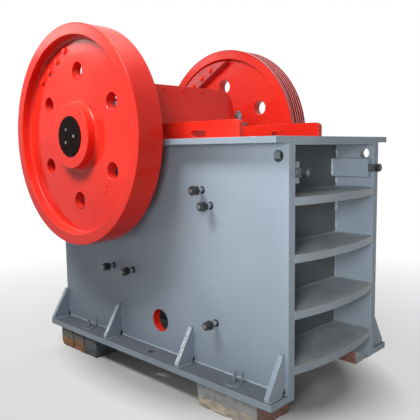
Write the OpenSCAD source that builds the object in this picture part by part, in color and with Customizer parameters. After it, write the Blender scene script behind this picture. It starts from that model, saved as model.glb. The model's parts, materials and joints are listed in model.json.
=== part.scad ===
// Jaw crusher of the 600 x 900 mm feed-opening class.
// Working coordinates inside the modules: x = 0 at the front edges of the side plates and
// negative towards the rear, y = 0 on the middle plane, z = 0 at the underside of the base
// flanges. placed() carries them to the part's own frame, which stands on the floor.

/* [Frame] */
// Length of the side plates, front edge to rear edge
frame_length = 2370; // [2250:10:2500]
// Height of the frame, base flange underside to top flange upper face
frame_height = 1540; // [1500:10:1600]
// Width over the outer faces of the side plates
frame_width = 1034; // [1000:2:1100]
// Thickness of the side plates
side_t = 60; // [50:1:65]
// Thickness of the top flange's front run, between the side plates
top_flange_t = 50; // [40:1:60]
// Thickness of the top flange's side runs, on the side plates
side_flange_t = 38; // [30:1:45]
// How far the side runs stand out from the side plates
top_overhang = 118; // [80:1:140]
// Thickness of the base flanges
base_flange_t = 42; // [30:1:55]
// How far the base flanges stand out from the side plates
base_overhang = 164; // [130:1:180]

/* [Front wall and ribs] */
// Distance from the side plates' front edges back to the front wall
front_recess = 290; // [240:5:310]
// Thickness of the front wall
front_wall_t = 60; // [45:1:70]
// Thickness of the horizontal ribs
rib_t = 48; // [35:1:60]
// Height of the middle of the lowest rib
rib_first = 172; // [160:1:200]
// Distance of the middle of the uppermost front rib below the top of the frame
rib_top_drop = 369; // [350:1:380]
// How far the front ribs bulge past the side plates' front edges
rib_bulge = 55; // [30:1:70]
// Number of ribs on the front
front_ribs = 4; // [4:1:4]

/* [Rear wall] */
// Distance from the rear edges of the side plates forward to the rear wall
rear_recess = 370; // [330:5:390]
// Thickness of the rear wall
rear_wall_t = 60; // [45:1:70]
// Distance of the rear wall's upper edge below the top of the frame
rear_wall_drop = 330; // [310:5:350]
// Setback of the straight rear ribs from the side plates' rear edges
rear_rib_setback = 40; // [20:1:80]
// Number of ribs on the rear
rear_ribs = 3; // [3:1:3]

/* [Holes in the side plates] */
// Diameter of the lifting holes
lifting_hole_d = 70; // [50:1:80]
// Distance of the lifting holes from the front edge
lifting_hole_back = 73; // [60:1:90]
// Distance of the lifting holes below the top of the frame
lifting_hole_drop = 110; // [100:1:130]
// Diameter of the inspection holes
inspection_d = 164; // [120:1:180]
// Distance of the inspection holes from the front edge
inspection_back = 1127; // [1080:1:1160]
// Height of the inspection holes
inspection_z = 252; // [235:1:270]

/* [Base flange gussets and anchor holes] */
// Thickness of a gusset
gusset_t = 34; // [20:1:45]
// Height of a gusset above the base flange
gusset_h = 242; // [180:1:280]
// Distance of the foremost gusset's middle from the front edge
gusset_front = 37; // [30:1:60]
// Distance of the rearmost gusset's middle from the rear edge
gusset_rear = 19; // [18:1:40]
// Distance between the two gussets at either end of a side
gusset_step = 753; // [720:1:780]
// Width of a gusset's upper end
gusset_top_w = 27; // [10:1:40]
// Setback of the gussets from the base flanges' outer edges
gusset_setback = 4; // [2:1:8]
// Height of a gusset's outer toe
gusset_toe = 22; // [15:1:35]
// Radius of the cope at a gusset's inner corner
gusset_cope_r = 28; // [15:1:35]
// Diameter of the anchor holes
anchor_hole_d = 56; // [40:1:60]
// Distance of the foremost anchor hole from the front edge
anchor_front = 345; // [320:1:380]
// Distance of the rearmost anchor hole from the rear edge
anchor_rear = 445; // [420:1:460]
// Number of anchor holes on each side
anchors_per_side = 3; // [3:1:3]
// Distance of the anchor holes from the flange's outer edge
anchor_edge = 82; // [70:1:90]

/* [Support blocks] */
// Height of the blocks under the base
block_h = 160; // [120:5:200]
// Length of a block along the machine
block_length = 500; // [400:5:540]
// Width of a block across the machine
block_width = 320; // [240:5:330]
// Distance of the front blocks' middle from the front edge
block_front = 362; // [350:2:380]
// Distance of the blocks' outer faces inside the base flanges' outer edges
block_inset = 16; // [5:1:30]
// Distance of the rear blocks' middle from the rear edge
block_rear = 370; // [320:5:400]
// Width of the odd block under the far side's front
odd_block_width = 148; // [130:1:170]
// Length of the odd block
odd_block_length = 240; // [200:5:280]
// Turn of the odd block out of the machine's direction, in degrees
odd_block_turn = 26.4; // [15:0.2:35]
// Distance of its foremost inner corner from the front edge
odd_block_back = 254; // [230:1:280]
// Distance of this corner inside the base flange's outer edge
odd_block_inset = 81; // [70:1:95]

/* [Shaft and bearings] */
// Distance of the shaft axis from the front edge
shaft_back = 1622; // [1600:1:1640]
// Height of the shaft axis above the top of the frame
shaft_rise = 33; // [25:1:45]
// Radius of the shaft where it carries the moving jaw
jaw_journal_r = 150; // [130:1:160]
// Radius of the shaft in the frame bearings
frame_journal_r = 125; // [110:1:135]
// Radius of the shaft in the wheels
wheel_seat_r = 100; // [80:1:105]
// Running clearance of the shaft in its bearings, on the radius
shaft_fit = 0.05; // [0.02:0.01:0.1]
// Outer radius of the bearing housings
housing_r = 265; // [245:1:280]
// Width of a bearing housing across the machine
housing_width = 170; // [150:1:180]
// Half length of a bearing housing's bolt lugs, shaft axis to end
lug_reach = 372; // [350:1:385]
// Height of the bolt lugs above the shaft axis
lug_rise = 120; // [90:1:130]
// Radius of the bolt lugs' upright corners
lug_corner_r = 36; // [20:1:44]
// Distance of a housing stud's axis from the end of its lug
stud_inset = 46; // [42:1:60]
// Outer radius of the bearing covers
cover_r = 196; // [180:1:210]
// Thickness of the bearing covers
cover_t = 16; // [10:1:24]
// Radius of the housing studs
stud_r = 21; // [16:1:24]
// Length of stud above a lug
stud_above = 95; // [70:1:110]
// Radius of the nuts on the housing studs, over their corners
stud_nut_r = 36; // [32:1:40]
// Height of these nuts
stud_nut_t = 38; // [30:1:44]

/* [Flywheel and drive sheave] */
// Outer radius of both wheels
wheel_r = 774; // [740:1:790]
// Width of the wheels' rims
rim_width = 200; // [180:1:210]
// Radial thickness of the rims
rim_t = 80; // [65:1:95]
// Distance from the side plates to the wheels' inner faces
wheel_gap = 176; // [160:1:200]
// Thickness of the wheels' webs
web_t = 72; // [50:1:90]
// Depth of the web below the rim's outer face
web_depth = 73; // [55:1:75]
// Radius of the hubs
hub_r = 228; // [200:1:240]
// Radius of the casting's hollow corners on the outer side
fillet_r = 26; // [16:1:30]
// Radius of the casting's hollow corners on the inner side
inner_fillet_r = 16; // [10:1:24]
// Radius of the rims' rounded edges
rim_edge_r = 7; // [4:0.5:10]
// Number of round holes in a web
web_holes = 6; // [6:1:6]
// Diameter of the web holes
web_hole_d = 119; // [90:1:130]
// Chamfer at the edges of the web holes
web_hole_chamfer = 4; // [2:0.5:6]
// Angle of the first web hole above the horizontal, in degrees
web_hole_angle = 28.5; // [20:0.5:40]
// Turn of the drive sheave's holes against the flywheel's, in degrees
sheave_hole_turn = 4; // [0:0.5:8]
// Radius of the end caps
cap_r = 143; // [130:1:160]
// Thickness of the end caps
cap_t = 10; // [8:1:24]
// Number of belt grooves on the sheave
grooves = 5; // [4:1:5]
// Distance between belt grooves
groove_pitch = 31; // [28:1:31]
// Width of a belt groove at the rim's surface
groove_w = 22; // [18:1:24]
// Depth of a belt groove
groove_depth = 20; // [14:1:24]
// Direction of the counterweights from the axis, in degrees above the horizontal
weight_angle = 120; // [100:1:140]
// Depth of the counterweights from their arc to their flat edge
weight_depth = 120; // [100:1:130]
// Gap between the counterweights' arc and the rims
weight_gap = 18; // [10:1:24]
// How far the counterweights stand out past the rims' inner edges
weight_proud = 8; // [4:1:14]

/* [Crushing chamber] */
// Distance across the feed opening between the jaw plates
gape = 600; // [580:5:620]
// Distance between the jaw plates at the discharge
discharge_gap = 105; // [90:1:130]
// Distance of the jaw plates' upper ends below the top of the frame
chamber_drop = 62; // [55:1:90]
// Height of the lower end of the jaw plates
chamber_bottom = 235; // [215:1:260]
// Thickness of a jaw plate without its teeth
jaw_plate_t = 62; // [50:1:75]
// Height of the teeth of a jaw plate
tooth_h = 30; // [20:1:36]
// Number of teeth on a jaw plate
teeth = 9; // [7:1:11]
// Thickness of the cheek plates
cheek_t = 40; // [30:1:45]
// How far the cheek plates reach behind the moving jaw's face
cheek_behind = 150; // [130:1:170]
// How far the cheek plates reach below the jaw plates
cheek_below = 20; // [10:1:30]
// Gap between the cheek plates and the edges of the fixed jaw plate
cheek_gap = 4; // [2:1:8]
// Gap between the cheek plates and the moving jaw plate's edges
jaw_side_gap = 14; // [10:1:20]
// How far the cheek plates rise above the top flange
cheek_rise = 114; // [90:1:130]
// Distance of that raised edge's front end behind the front wall
cheek_edge_back = 64; // [40:1:90]
// Height at which the upper and lower cheek plates meet
cheek_split = 900; // [860:5:940]
// Radius of the cheek plates' upper corner
cheek_corner_r = 34; // [20:1:45]
// Length of the lifting slot in an upper cheek plate
slot_length = 142; // [100:1:160]
// Height of the lifting slot
slot_height = 44; // [30:1:50]
// Distance of the slot's middle from the front edge
slot_back = 772; // [700:1:800]
// Height of the slot's middle above the top flange
slot_rise = 34; // [30:1:40]

/* [Moving jaw] */
// Radius of the moving jaw's bearing head
jaw_head_r = 330; // [300:1:335]
// Gap between the moving jaw casting and the cheek plates
jaw_body_gap = 22; // [16:1:30]
// Thickness of the moving jaw casting behind its plate
jaw_body_t = 190; // [160:1:210]
// Thickness of the ribs on the back of the moving jaw
jaw_rib_t = 60; // [45:1:70]
// Number of pockets between these ribs
jaw_pockets = 3; // [3:1:3]
// Thickness of the jaw's wall in front of the pockets
pocket_wall = 70; // [60:1:90]
// Height of the pockets' lower end
pocket_low = 700; // [680:1:760]
// Distance of the pockets' upper end below the jaw's bearing head
pocket_drop = 123; // [100:1:140]
// Height at which the back of the jaw bends towards the toggle's seat
jaw_knee_z = 900; // [870:1:930]
// How far the jaw casting reaches below the jaw plates
jaw_below = 10; // [5:1:15]
// Thickness of the casting's lower edge
jaw_foot_t = 90; // [80:1:110]
// Width of the guard plate over the moving jaw's head
guard_width = 810; // [780:1:814]
// Thickness of the guard plate
guard_t = 26; // [18:1:32]
// Height of the guard plate's upper edge above the shaft axis
guard_rise = 372; // [340:1:390]
// Lean of the guard plate from the vertical, in degrees
guard_lean = 16; // [14:0.5:18]
// Distance of the guard plate's upper edge in front of the shaft axis
guard_ahead = 349; // [330:1:360]
// Distance of the guard plate's lower edge above the jaw plates' upper ends
guard_foot_rise = 60; // [50:1:80]
// Radius of the guard plate's upper corner on the far side
guard_corner_r = 100; // [60:1:120]
// Thickness of the wall on the jaw that carries the guard plate
guard_support_t = 120; // [90:1:140]
// Distance of that wall's upper edge below the guard plate's
guard_support_drop = 60; // [40:1:80]

/* [Toggle and tension rod] */
// Height of the toggle plate's front end
toggle_front_z = 440; // [425:1:455]
// Distance of the toggle's seat in the jaw behind the jaw's back
jaw_seat_step = 20; // [10:1:30]
// Height of the jaw's seat above the toggle plate's front end
jaw_seat_rise = 130; // [110:1:150]
// Height of the toggle plate's rear end
toggle_rear_z = 578; // [565:1:590]
// Distance of the toggle plate's rear end in front of the seat block
toggle_stand = 5; // [3:1:10]
// Thickness of the toggle plate's rounded ends
toggle_end_d = 70; // [60:1:80]
// Thickness of the toggle plate's middle
toggle_web_t = 36; // [28:1:44]
// Play at the toggle plate's front end, in which the moving jaw swings
toggle_play = 17; // [16:0.5:20]
// Distance of the toggle plate's sides from the moving jaw's sides
toggle_side_gap = 60; // [50:1:80]
// Depth of the toggle's seat in front of its place in the jaw casting
jaw_seat_depth = 46; // [40:1:50]
// Length of the toggle seat block along the machine
seat_block_t = 150; // [130:1:170]
// Height of the toggle seat block
seat_block_h = 250; // [220:1:280]
// Thickness of the stack of adjusting plates behind the seat block
shim_stack = 125; // [60:1:130]
// Setback of the adjusting plates from the seat block's edges
shim_setback = 20; // [15:1:40]
// Diameter of the tension rod
rod_d = 40; // [32:1:44]
// Height of the tension rod
rod_z = 345; // [335:1:355]
// Clearance around the rod in the rear wall, on the radius
rod_wall_gap = 18; // [15:1:22]
// Clearance around the rod in the spring, on the radius
rod_spring_gap = 13; // [12:0.5:15]
// Length of the rod behind the spring
rod_beyond = 90; // [75:1:110]
// Gap between the rod's nut and the spring
rod_nut_gap = 16; // [14:1:20]
// Radius of the rod's nut, over its corners
rod_nut_r = 36; // [32:1:40]
// Length of the rod's nut
rod_nut_t = 40; // [34:1:48]
// Outer diameter of the tension spring
spring_d = 132; // [110:1:140]
// Diameter of the spring's bar
spring_bar_d = 24; // [18:1:26]
// Number of turns of the spring
spring_turns = 5; // [4:1:6]
// Length of the spring
spring_length = 205; // [190:1:215]
// Thickness of the spring's end plates
spring_end_t = 16; // [12:1:20]
// Thickness of the sleeve that the turns are drawn on
spring_sleeve_t = 6; // [4:0.5:8]

/* [Bolts and bars] */
// Radius of the bolts through the side plates
side_bolt_r = 18; // [14:1:22]
// How far these bolts stand out
side_bolt_out = 106; // [90:1:130]
// Distance of the first upper cheek bolt from the front edge
cheek_bolt_1_back = 684; // [660:1:700]
// Distance of this bolt below the top of the frame
cheek_bolt_1_drop = 329; // [300:1:350]
// Distance of the second upper cheek bolt from the front edge
cheek_bolt_2_back = 610; // [590:1:630]
// Distance of this bolt below the top of the frame
cheek_bolt_2_drop = 426; // [400:1:450]
// Distance of the lower cheek bolt from the front edge
cheek_bolt_3_back = 574; // [550:1:600]
// Height of this bolt above the lower end of the jaw plates
cheek_bolt_3_rise = 118; // [100:1:140]
// Distance of the first seat bolt behind the toggle plate's rear end
seat_bolt_behind = 11; // [0:1:30]
// Distance of the second seat bolt in front of the toggle plate's rear end
seat_bolt_ahead = 230; // [200:1:250]
// Radius of the nuts on these bolts, over their corners
side_nut_r = 31; // [28:1:34]
// Thickness of these nuts, two on each bolt
side_nut_t = 22; // [18:1:30]
// Distance of the first nut from the side plate
side_nut_stand = 50; // [30:1:55]
// Gap between the two nuts
side_nut_gap = 5; // [3:1:8]
// Thickness of the bars that carry the jaw clamp bolts
clamp_bar_t = 60; // [45:1:70]
// Height of these bars
clamp_bar_h = 124; // [100:1:140]
// Distance of the middle of these bars below the top of the frame
clamp_bar_drop = 207; // [195:1:215]
// Setback of these bars from the side plates' front edges
clamp_bar_setback = 14; // [8:1:24]
// Radius of the jaw clamp bolts
clamp_bolt_r = 15; // [12:1:20]
// How far the jaw clamp bolts stand out from their bars
clamp_bolt_out = 85; // [70:1:130]
// Thickness of the round washers under the nuts of these bolts
clamp_washer_t = 20; // [12:1:24]
// Radius of the nuts on the jaw clamp bolts, over their corners
clamp_nut_r = 28; // [25:1:33]
// Thickness of these nuts, two on each bolt
clamp_nut_t = 27; // [22:1:30]
// Gap between the two nuts
clamp_nut_gap = 3; // [2:1:6]

/* [Hidden] */
$fn = 48;
seat = 0.3;
outer_y = frame_width / 2;
inner_y = outer_y - side_t;
flange_y = outer_y + base_overhang;
block_y = flange_y - block_inset - block_width / 2;
plate_top = frame_height - side_flange_t;
wall_top = frame_height - top_flange_t;
wheel_y = outer_y + wheel_gap;
shaft_z = frame_height + shaft_rise;
lifting_hole_z = frame_height - lifting_hole_drop;
clamp_bar_z = frame_height - clamp_bar_drop;
rear_wall_h = frame_height - rear_wall_drop;
chamber_top = frame_height - chamber_drop;
rib_pitch = (frame_height - rib_top_drop - rib_first) / (front_ribs - 1);
side_nut_pitch = side_nut_t + side_nut_gap;
gusset_last = frame_length - gusset_rear;
gusset_rows = [gusset_front, gusset_front + gusset_step, gusset_last - gusset_step, gusset_last];
anchor_pitch = (frame_length - anchor_front - anchor_rear) / (anchors_per_side - 1);
// The frame of the part stands under the middle of the whole machine.
rear_end = shaft_back + wheel_r;
front_reach = max(rib_bulge, clamp_bolt_out - clamp_bar_setback);
origin_back = (rear_end - front_reach) / 2;

// Crushing faces: the fixed one stands upright, the moving one leans.
fixed_back = front_recess + front_wall_t;
fixed_face = fixed_back + jaw_plate_t + tooth_h;
face_top = fixed_face + gape;
face_bottom = fixed_face + discharge_gap;
lean = atan((face_top - face_bottom) / (chamber_top - chamber_bottom));
face_length = (chamber_top - chamber_bottom) / cos(lean);
cheek_y = inner_y - cheek_t;
jaw_plate_y = cheek_y - jaw_side_gap;
jaw_body_y = cheek_y - jaw_body_gap;
moving_plate_t = jaw_plate_t + tooth_h;

// Guard plate: heights of its upper edge, its foot and the wall that carries it.
guard_top_z = shaft_z + guard_rise;
guard_foot_z = chamber_top + guard_foot_rise;
guard_support_z = guard_top_z - guard_support_drop;
// Just under the plate's lower rear corner, which its lean carries below its front corner.
guard_toe_z = guard_foot_z - guard_t * sin(guard_lean) - 2;

// Toggle plate: the front end stands off the jaw's seat by its play.
toggle_end_r = toggle_end_d / 2;
jaw_seat_back = face_bottom + moving_plate_t + jaw_body_t
    + (toggle_front_z - chamber_bottom) * tan(lean) + jaw_seat_step;
jaw_seat_rear = jaw_seat_back + jaw_seat_depth;
toggle_front_back = jaw_seat_back + toggle_end_r + toggle_play;
rear_wall_back = frame_length - rear_recess;
rear_wall_front = rear_wall_back - rear_wall_t;
seat_block_rear = rear_wall_front - shim_stack;
toggle_rear_back = seat_block_rear - seat_block_t - toggle_stand;
toggle_slope = atan((toggle_rear_z - toggle_front_z) / (toggle_rear_back - toggle_front_back));

// Wheels: faces of the web, counted from the rim's inner face, and what sits on it.
web_inner = rim_width - web_depth - web_t;
web_outer = rim_width - web_depth;
rim_inner_r = wheel_r - rim_t;
web_hole_ring = (hub_r + rim_inner_r) / 2;
weight_r = rim_inner_r - weight_gap;
weight_chord = weight_r - weight_depth;

frame_red = "#d8342c";
frame_grey = "#8d9bab";
dark_steel = "#3a3c40";
cast_steel = "#55585c";
block_grey = "#b9b4a8";

// Working coordinates to the part's own frame.
module placed() {
    translate([origin_back, 0, block_h]) children();
}

// An outline in x and z, pulled across the machine between two y values.
module across(y_from, y_to) {
    translate([0, y_to, 0])
        rotate([90, 0, 0])
            linear_extrude(height = y_to - y_from) children();
}

// A round bar or hole across the machine.
module cross_bar(back, z, r, y_from, y_to) {
    translate([-back, y_to, z])
        rotate([90, 0, 0])
            cylinder(r = r, h = y_to - y_from);
}

// Outline of a hollow corner: a square of size r less a quarter disc. A little extra at the
// corner keeps it joined to what it fills.
module hollow_corner(r, extra = 0.5) {
    translate([-extra, -extra]) difference() {
        square(r + extra);
        translate([r + extra, r + extra]) circle(r = r);
    }
}

// Near-side piece for side = -1, its mirror image for side = 1.
module on_side(side) {
    if (side < 0) children();
    else mirror([0, 1, 0]) children();
}

// One side plate: a cut for the bearing housing, a lifting hole, an inspection hole, bolt holes.
module side_plate(side) {
    color(frame_grey) placed() on_side(side) difference() {
        translate([-frame_length, -outer_y, 0]) cube([frame_length, side_t, plate_top]);
        cross_bar(shaft_back, shaft_z, housing_r + seat, -outer_y - 10, -inner_y + 10);
        cross_bar(lifting_hole_back, lifting_hole_z, lifting_hole_d / 2, -outer_y - 10, -inner_y + 10);
        cross_bar(inspection_back, inspection_z, inspection_d / 2, -outer_y - 10, -inner_y + 10);
    }
}

// Front wall between the side plates.
module front_wall() {
    color(frame_grey) placed()
        translate([-front_recess - front_wall_t, -inner_y, 0])
            cube([front_wall_t, 2 * inner_y, wall_top]);
}

// One front rib: straight at the wall, with a shallow arc as its front edge.
module front_rib(level) {
    z = rib_first + (level - 1) * rib_pitch - rib_t / 2;
    arc_r = (inner_y * inner_y + rib_bulge * rib_bulge) / (2 * rib_bulge);
    color(frame_grey) placed() intersection() {
        translate([-front_recess, -inner_y, z])
            cube([front_recess + rib_bulge + 1, 2 * inner_y, rib_t]);
        translate([rib_bulge - arc_r, 0, z - 1])
            cylinder(r = arc_r, h = rib_t + 2, $fn = 96);
    }
}

// Side run of the top flange, open where the bearing housing stands.
module top_flange_side(side) {
    gap_half = lug_reach + 4;
    front_run = shaft_back - gap_half;
    rear_start = shaft_back + gap_half;
    color(frame_grey) placed() on_side(side) {
        translate([-front_run, -outer_y - top_overhang, plate_top])
            cube([front_run, top_overhang + side_t, side_flange_t]);
        translate([-frame_length, -outer_y - top_overhang, plate_top])
            cube([frame_length - rear_start, top_overhang + side_t, side_flange_t]);
    }
}

// Front run of the top flange, from the feed opening out to the side plates' front edges.
module top_flange_front() {
    color(frame_grey) placed()
        translate([-front_recess - front_wall_t, -inner_y, wall_top])
            cube([front_recess + front_wall_t, 2 * inner_y, top_flange_t]);
}

// Base flange along one side plate, with a row of anchor holes.
module base_flange(side) {
    color(frame_grey) placed() on_side(side) difference() {
        translate([-frame_length, -flange_y, 0]) cube([frame_length, base_overhang, base_flange_t]);
        for (k = [0 : anchors_per_side - 1])
            translate([-anchor_front - k * anchor_pitch, -flange_y + anchor_edge, -1])
                cylinder(d = anchor_hole_d, h = base_flange_t + 2);
    }
}

// Triangular gussets that stiffen one base flange, coped over the weld.
module gussets(side) {
    toe_y = -flange_y + gusset_setback;
    color(frame_grey) placed() on_side(side)
        for (back = gusset_rows)
            translate([-back - gusset_t / 2, 0, 0])
                rotate([90, 0, 90])
                    linear_extrude(height = gusset_t) difference() {
                        polygon([
                            [-outer_y, base_flange_t],
                            [-outer_y, base_flange_t + gusset_h],
                            [-outer_y - gusset_top_w, base_flange_t + gusset_h],
                            [toe_y, base_flange_t + gusset_toe],
                            [toe_y, base_flange_t]
                        ]);
                        translate([-outer_y, base_flange_t]) circle(r = gusset_cope_r);
                    }
}

module rear_wall() {
    color(frame_grey) placed() difference() {
        translate([-rear_wall_back, -inner_y, 0]) cube([rear_wall_t, 2 * inner_y, rear_wall_h]);
        translate([-rear_wall_back - 1, 0, rod_z])
            rotate([0, 90, 0]) cylinder(r = rod_d / 2 + rod_wall_gap, h = rear_wall_t + 2);
    }
}

module rear_rib(level) {
    z = rib_first + (level - 1) * rib_pitch - rib_t / 2;
    color(frame_grey) placed()
        translate([-frame_length + rear_rib_setback, -inner_y, z])
            cube([rear_recess - rear_rib_setback, 2 * inner_y, rib_t]);
}

// Bar inside a side plate with the bolt that clamps the fixed jaw plate.
module clamp_bar(side) {
    color(frame_grey) placed() on_side(side)
        translate([-front_recess, -inner_y, clamp_bar_z - clamp_bar_h / 2])
            cube([front_recess - clamp_bar_setback, clamp_bar_t, clamp_bar_h]);
    color(dark_steel) placed() on_side(side)
        translate([-clamp_bar_setback, -inner_y + clamp_bar_t / 2, clamp_bar_z]) rotate([0, 90, 0]) {
            cylinder(r = clamp_bolt_r, h = clamp_bolt_out);
            cylinder(r = clamp_nut_r, h = clamp_washer_t);
            for (k = [0 : 1])
                translate([0, 0, clamp_washer_t + k * (clamp_nut_t + clamp_nut_gap)])
                    cylinder(r = clamp_nut_r, h = clamp_nut_t, $fn = 6);
        }
}

// Plan of a bearing housing's lugs, the corners towards its ends rounded.
module lug_plan() {
    difference() {
        translate([-lug_reach, 0]) square([2 * lug_reach, housing_width]);
        for (end = [-1, 1], low = [0, 1])
            translate([end * lug_reach, low * housing_width])
                mirror([end > 0 ? 1 : 0, 0]) mirror([0, low]) hollow_corner(lug_corner_r);
    }
}

// Bearing housing: a round body in the side plate's cut, lugs with studs, and a cover.
module bearing_housing(side) {
    y_out = -inner_y - housing_width;
    lug_low = plate_top + seat;
    lug_top = shaft_z + lug_rise;
    color(frame_grey) placed() on_side(side) {
        difference() {
            union() {
                cross_bar(shaft_back, shaft_z, housing_r, y_out, -inner_y);
                cross_bar(shaft_back, shaft_z, cover_r, y_out - cover_t, y_out + 1);
                translate([-shaft_back, y_out, lug_low])
                    linear_extrude(height = lug_top - lug_low) lug_plan();
            }
            cross_bar(shaft_back, shaft_z, frame_journal_r + shaft_fit, y_out - cover_t - 1, -inner_y + 1);
        }
        for (end = [-1, 1])
            translate([-shaft_back + end * (lug_reach - stud_inset), y_out + housing_width / 2, lug_top]) {
                cylinder(r = stud_r, h = stud_above);
                cylinder(r = stud_nut_r, h = stud_nut_t, $fn = 6);
            }
    }
}

// Outline of one cheek plate in x and z, front edge against the front wall.
// An upper plate steps back to its raised edge at the frame's top.
module cheek_outline(z_low, z_high) {
    step_z = min(z_high, frame_height);
    edge_back = z_high > step_z ? cheek_edge_back : 0;
    rear_low = face_bottom + (z_low - chamber_bottom) * tan(lean) + cheek_behind;
    rear_high = face_bottom + (z_high - chamber_bottom) * tan(lean) + cheek_behind;
    polygon(concat(
        [[-fixed_back - seat, z_low], [-fixed_back - seat, step_z]],
        edge_back > 0 ? [[-fixed_back - edge_back, step_z], [-fixed_back - edge_back, z_high]] : [],
        [[-rear_high, z_high], [-rear_low, z_low]]
    ));
}

module cheek_plate_upper(side) {
    top = frame_height + cheek_rise;
    straight = slot_length - slot_height;
    color(frame_red) placed() on_side(side)
        across(-inner_y, -cheek_y) difference() {
            cheek_outline(cheek_split, top);
            translate([-fixed_back - cheek_edge_back, top])
                rotate(180) hollow_corner(cheek_corner_r);
            translate([-slot_back, frame_height + slot_rise]) {
                square([straight, slot_height], center = true);
                for (end = [-1, 1])
                    translate([end * straight / 2, 0]) circle(d = slot_height);
            }
        }
}

module cheek_plate_lower(side) {
    color(frame_red) placed() on_side(side)
        across(-inner_y, -cheek_y) cheek_outline(chamber_bottom - cheek_below, cheek_split - seat);
}

// Toothed plate: its back on y = 0 of the outline, the teeth along its height.
// Drawn with x across the machine, y away from the back, z up.
module toothed_plate(half_width, height) {
    pitch = 2 * half_width / teeth;
    crest_share = 0.22;
    crest = pitch * crest_share;
    linear_extrude(height = height)
        polygon(concat(
            [[-half_width, 0], [-half_width, jaw_plate_t]],
            [for (k = [0 : teeth - 1], step = [0 : 3])
                let (x0 = -half_width + k * pitch)
                    step == 0 ? [x0 + crest / 2, jaw_plate_t] :
                    step == 1 ? [x0 + pitch / 2 - crest / 2, jaw_plate_t + tooth_h] :
                    step == 2 ? [x0 + pitch / 2 + crest / 2, jaw_plate_t + tooth_h] :
                    [x0 + pitch - crest / 2, jaw_plate_t]],
            [[half_width, jaw_plate_t], [half_width, 0]]
        ));
}

module fixed_jaw_plate() {
    color(cast_steel) placed()
        translate([-fixed_back - seat, 0, chamber_bottom])
            rotate([0, 0, 90]) toothed_plate(cheek_y - cheek_gap, chamber_top - chamber_bottom);
}

// Bolts through the side plates that hold the cheek plates and the toggle seat's guides.
side_bolt_places = [
    [cheek_bolt_1_back, frame_height - cheek_bolt_1_drop],
    [cheek_bolt_2_back, frame_height - cheek_bolt_2_drop],
    [cheek_bolt_3_back, chamber_bottom + cheek_bolt_3_rise],
    [toggle_rear_back + seat_bolt_behind, toggle_rear_z],
    [toggle_rear_back - seat_bolt_ahead, toggle_rear_z]
];
module side_bolts(side) {
    color(dark_steel) placed() on_side(side)
        for (place = side_bolt_places) {
            cross_bar(place[0], place[1], side_bolt_r, -outer_y - side_bolt_out, -outer_y);
            for (k = [0 : 1])
                translate([-place[0], -outer_y - side_nut_stand - k * side_nut_pitch, place[1]])
                    rotate([90, 0, 0]) cylinder(r = side_nut_r, h = side_nut_t, $fn = 6);
        }
}

// Block across the machine with the half-round seat of the toggle plate's rear end.
module toggle_seat_block() {
    color(frame_red) placed() difference() {
        translate([-seat_block_rear, -jaw_body_y, toggle_rear_z - seat_block_h / 2])
            cube([seat_block_t, 2 * jaw_body_y, seat_block_h]);
        cross_bar(toggle_rear_back, toggle_rear_z, toggle_end_r + seat, -jaw_body_y - 1, jaw_body_y + 1);
    }
}

// Stack of plates between the seat block and the rear wall.
module adjusting_shims() {
    half_y = jaw_body_y - shim_setback;
    height = seat_block_h - 2 * shim_setback;
    color(dark_steel) placed()
        translate([-rear_wall_front, -half_y, toggle_rear_z - height / 2])
            cube([shim_stack, 2 * half_y, height]);
}

// Toggle plate: two rounded ends joined by a thinner plate.
module toggle_plate() {
    half = jaw_body_y - toggle_side_gap;
    run = norm([toggle_rear_back - toggle_front_back, toggle_rear_z - toggle_front_z]);
    color(cast_steel) placed() across(-half, half)
        translate([-toggle_front_back, toggle_front_z]) rotate(180 - toggle_slope) {
            circle(r = toggle_end_r);
            translate([run, 0]) circle(r = toggle_end_r);
            translate([0, -toggle_web_t / 2]) square([run, toggle_web_t]);
        }
}

// Coil spring behind the rear wall, drawn as stacked rings between two end plates.
module tension_spring() {
    ring_r = (spring_d - spring_bar_d) / 2;
    pitch = (spring_length - 2 * spring_end_t - spring_bar_d) / (spring_turns - 1);
    color(dark_steel) placed() translate([-rear_wall_back, 0, rod_z]) rotate([0, -90, 0]) difference() {
        union() {
            for (z = [0, spring_length - spring_end_t])
                translate([0, 0, z]) cylinder(r = spring_d / 2 + spring_sleeve_t, h = spring_end_t);
            for (k = [0 : spring_turns - 1])
                translate([0, 0, spring_end_t + spring_bar_d / 2 + k * pitch])
                    rotate_extrude() translate([ring_r, 0]) circle(d = spring_bar_d);
            difference() {
                cylinder(r = ring_r, h = spring_length);
                translate([0, 0, -1]) cylinder(r = ring_r - spring_sleeve_t, h = spring_length + 2);
            }
        }
        translate([0, 0, -1]) cylinder(r = rod_d / 2 + rod_spring_gap, h = spring_length + 2);
    }
}

// Blocks that hold the machine off the floor: two at the near side, one at the far side's rear.
module support_block(back, side) {
    color(block_grey) placed()
        translate([-back - block_length / 2, side * block_y - block_width / 2, -block_h])
            cube([block_length, block_width, block_h]);
}

// A smaller block of its own size, set at an angle under the far side's front.
module odd_block() {
    color(block_grey) placed()
        translate([-odd_block_back, flange_y - odd_block_inset, -block_h])
            rotate([0, 0, -odd_block_turn])
                translate([-odd_block_length, 0, 0])
                    cube([odd_block_length, odd_block_width, block_h]);
}

// Shaft in steps: wheel seats, frame journals and the journal that carries the jaw.
module eccentric_shaft() {
    end_gap = 24;
    shoulder_gap = 12;
    wheel_end = wheel_y + rim_width - end_gap;
    color(dark_steel) placed() {
        cross_bar(shaft_back, shaft_z, wheel_seat_r, -wheel_end, wheel_end);
        cross_bar(shaft_back, shaft_z, frame_journal_r, -wheel_y, wheel_y);
        cross_bar(shaft_back, shaft_z, jaw_journal_r, -inner_y + shoulder_gap, inner_y - shoulder_gap);
    }
}

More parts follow.
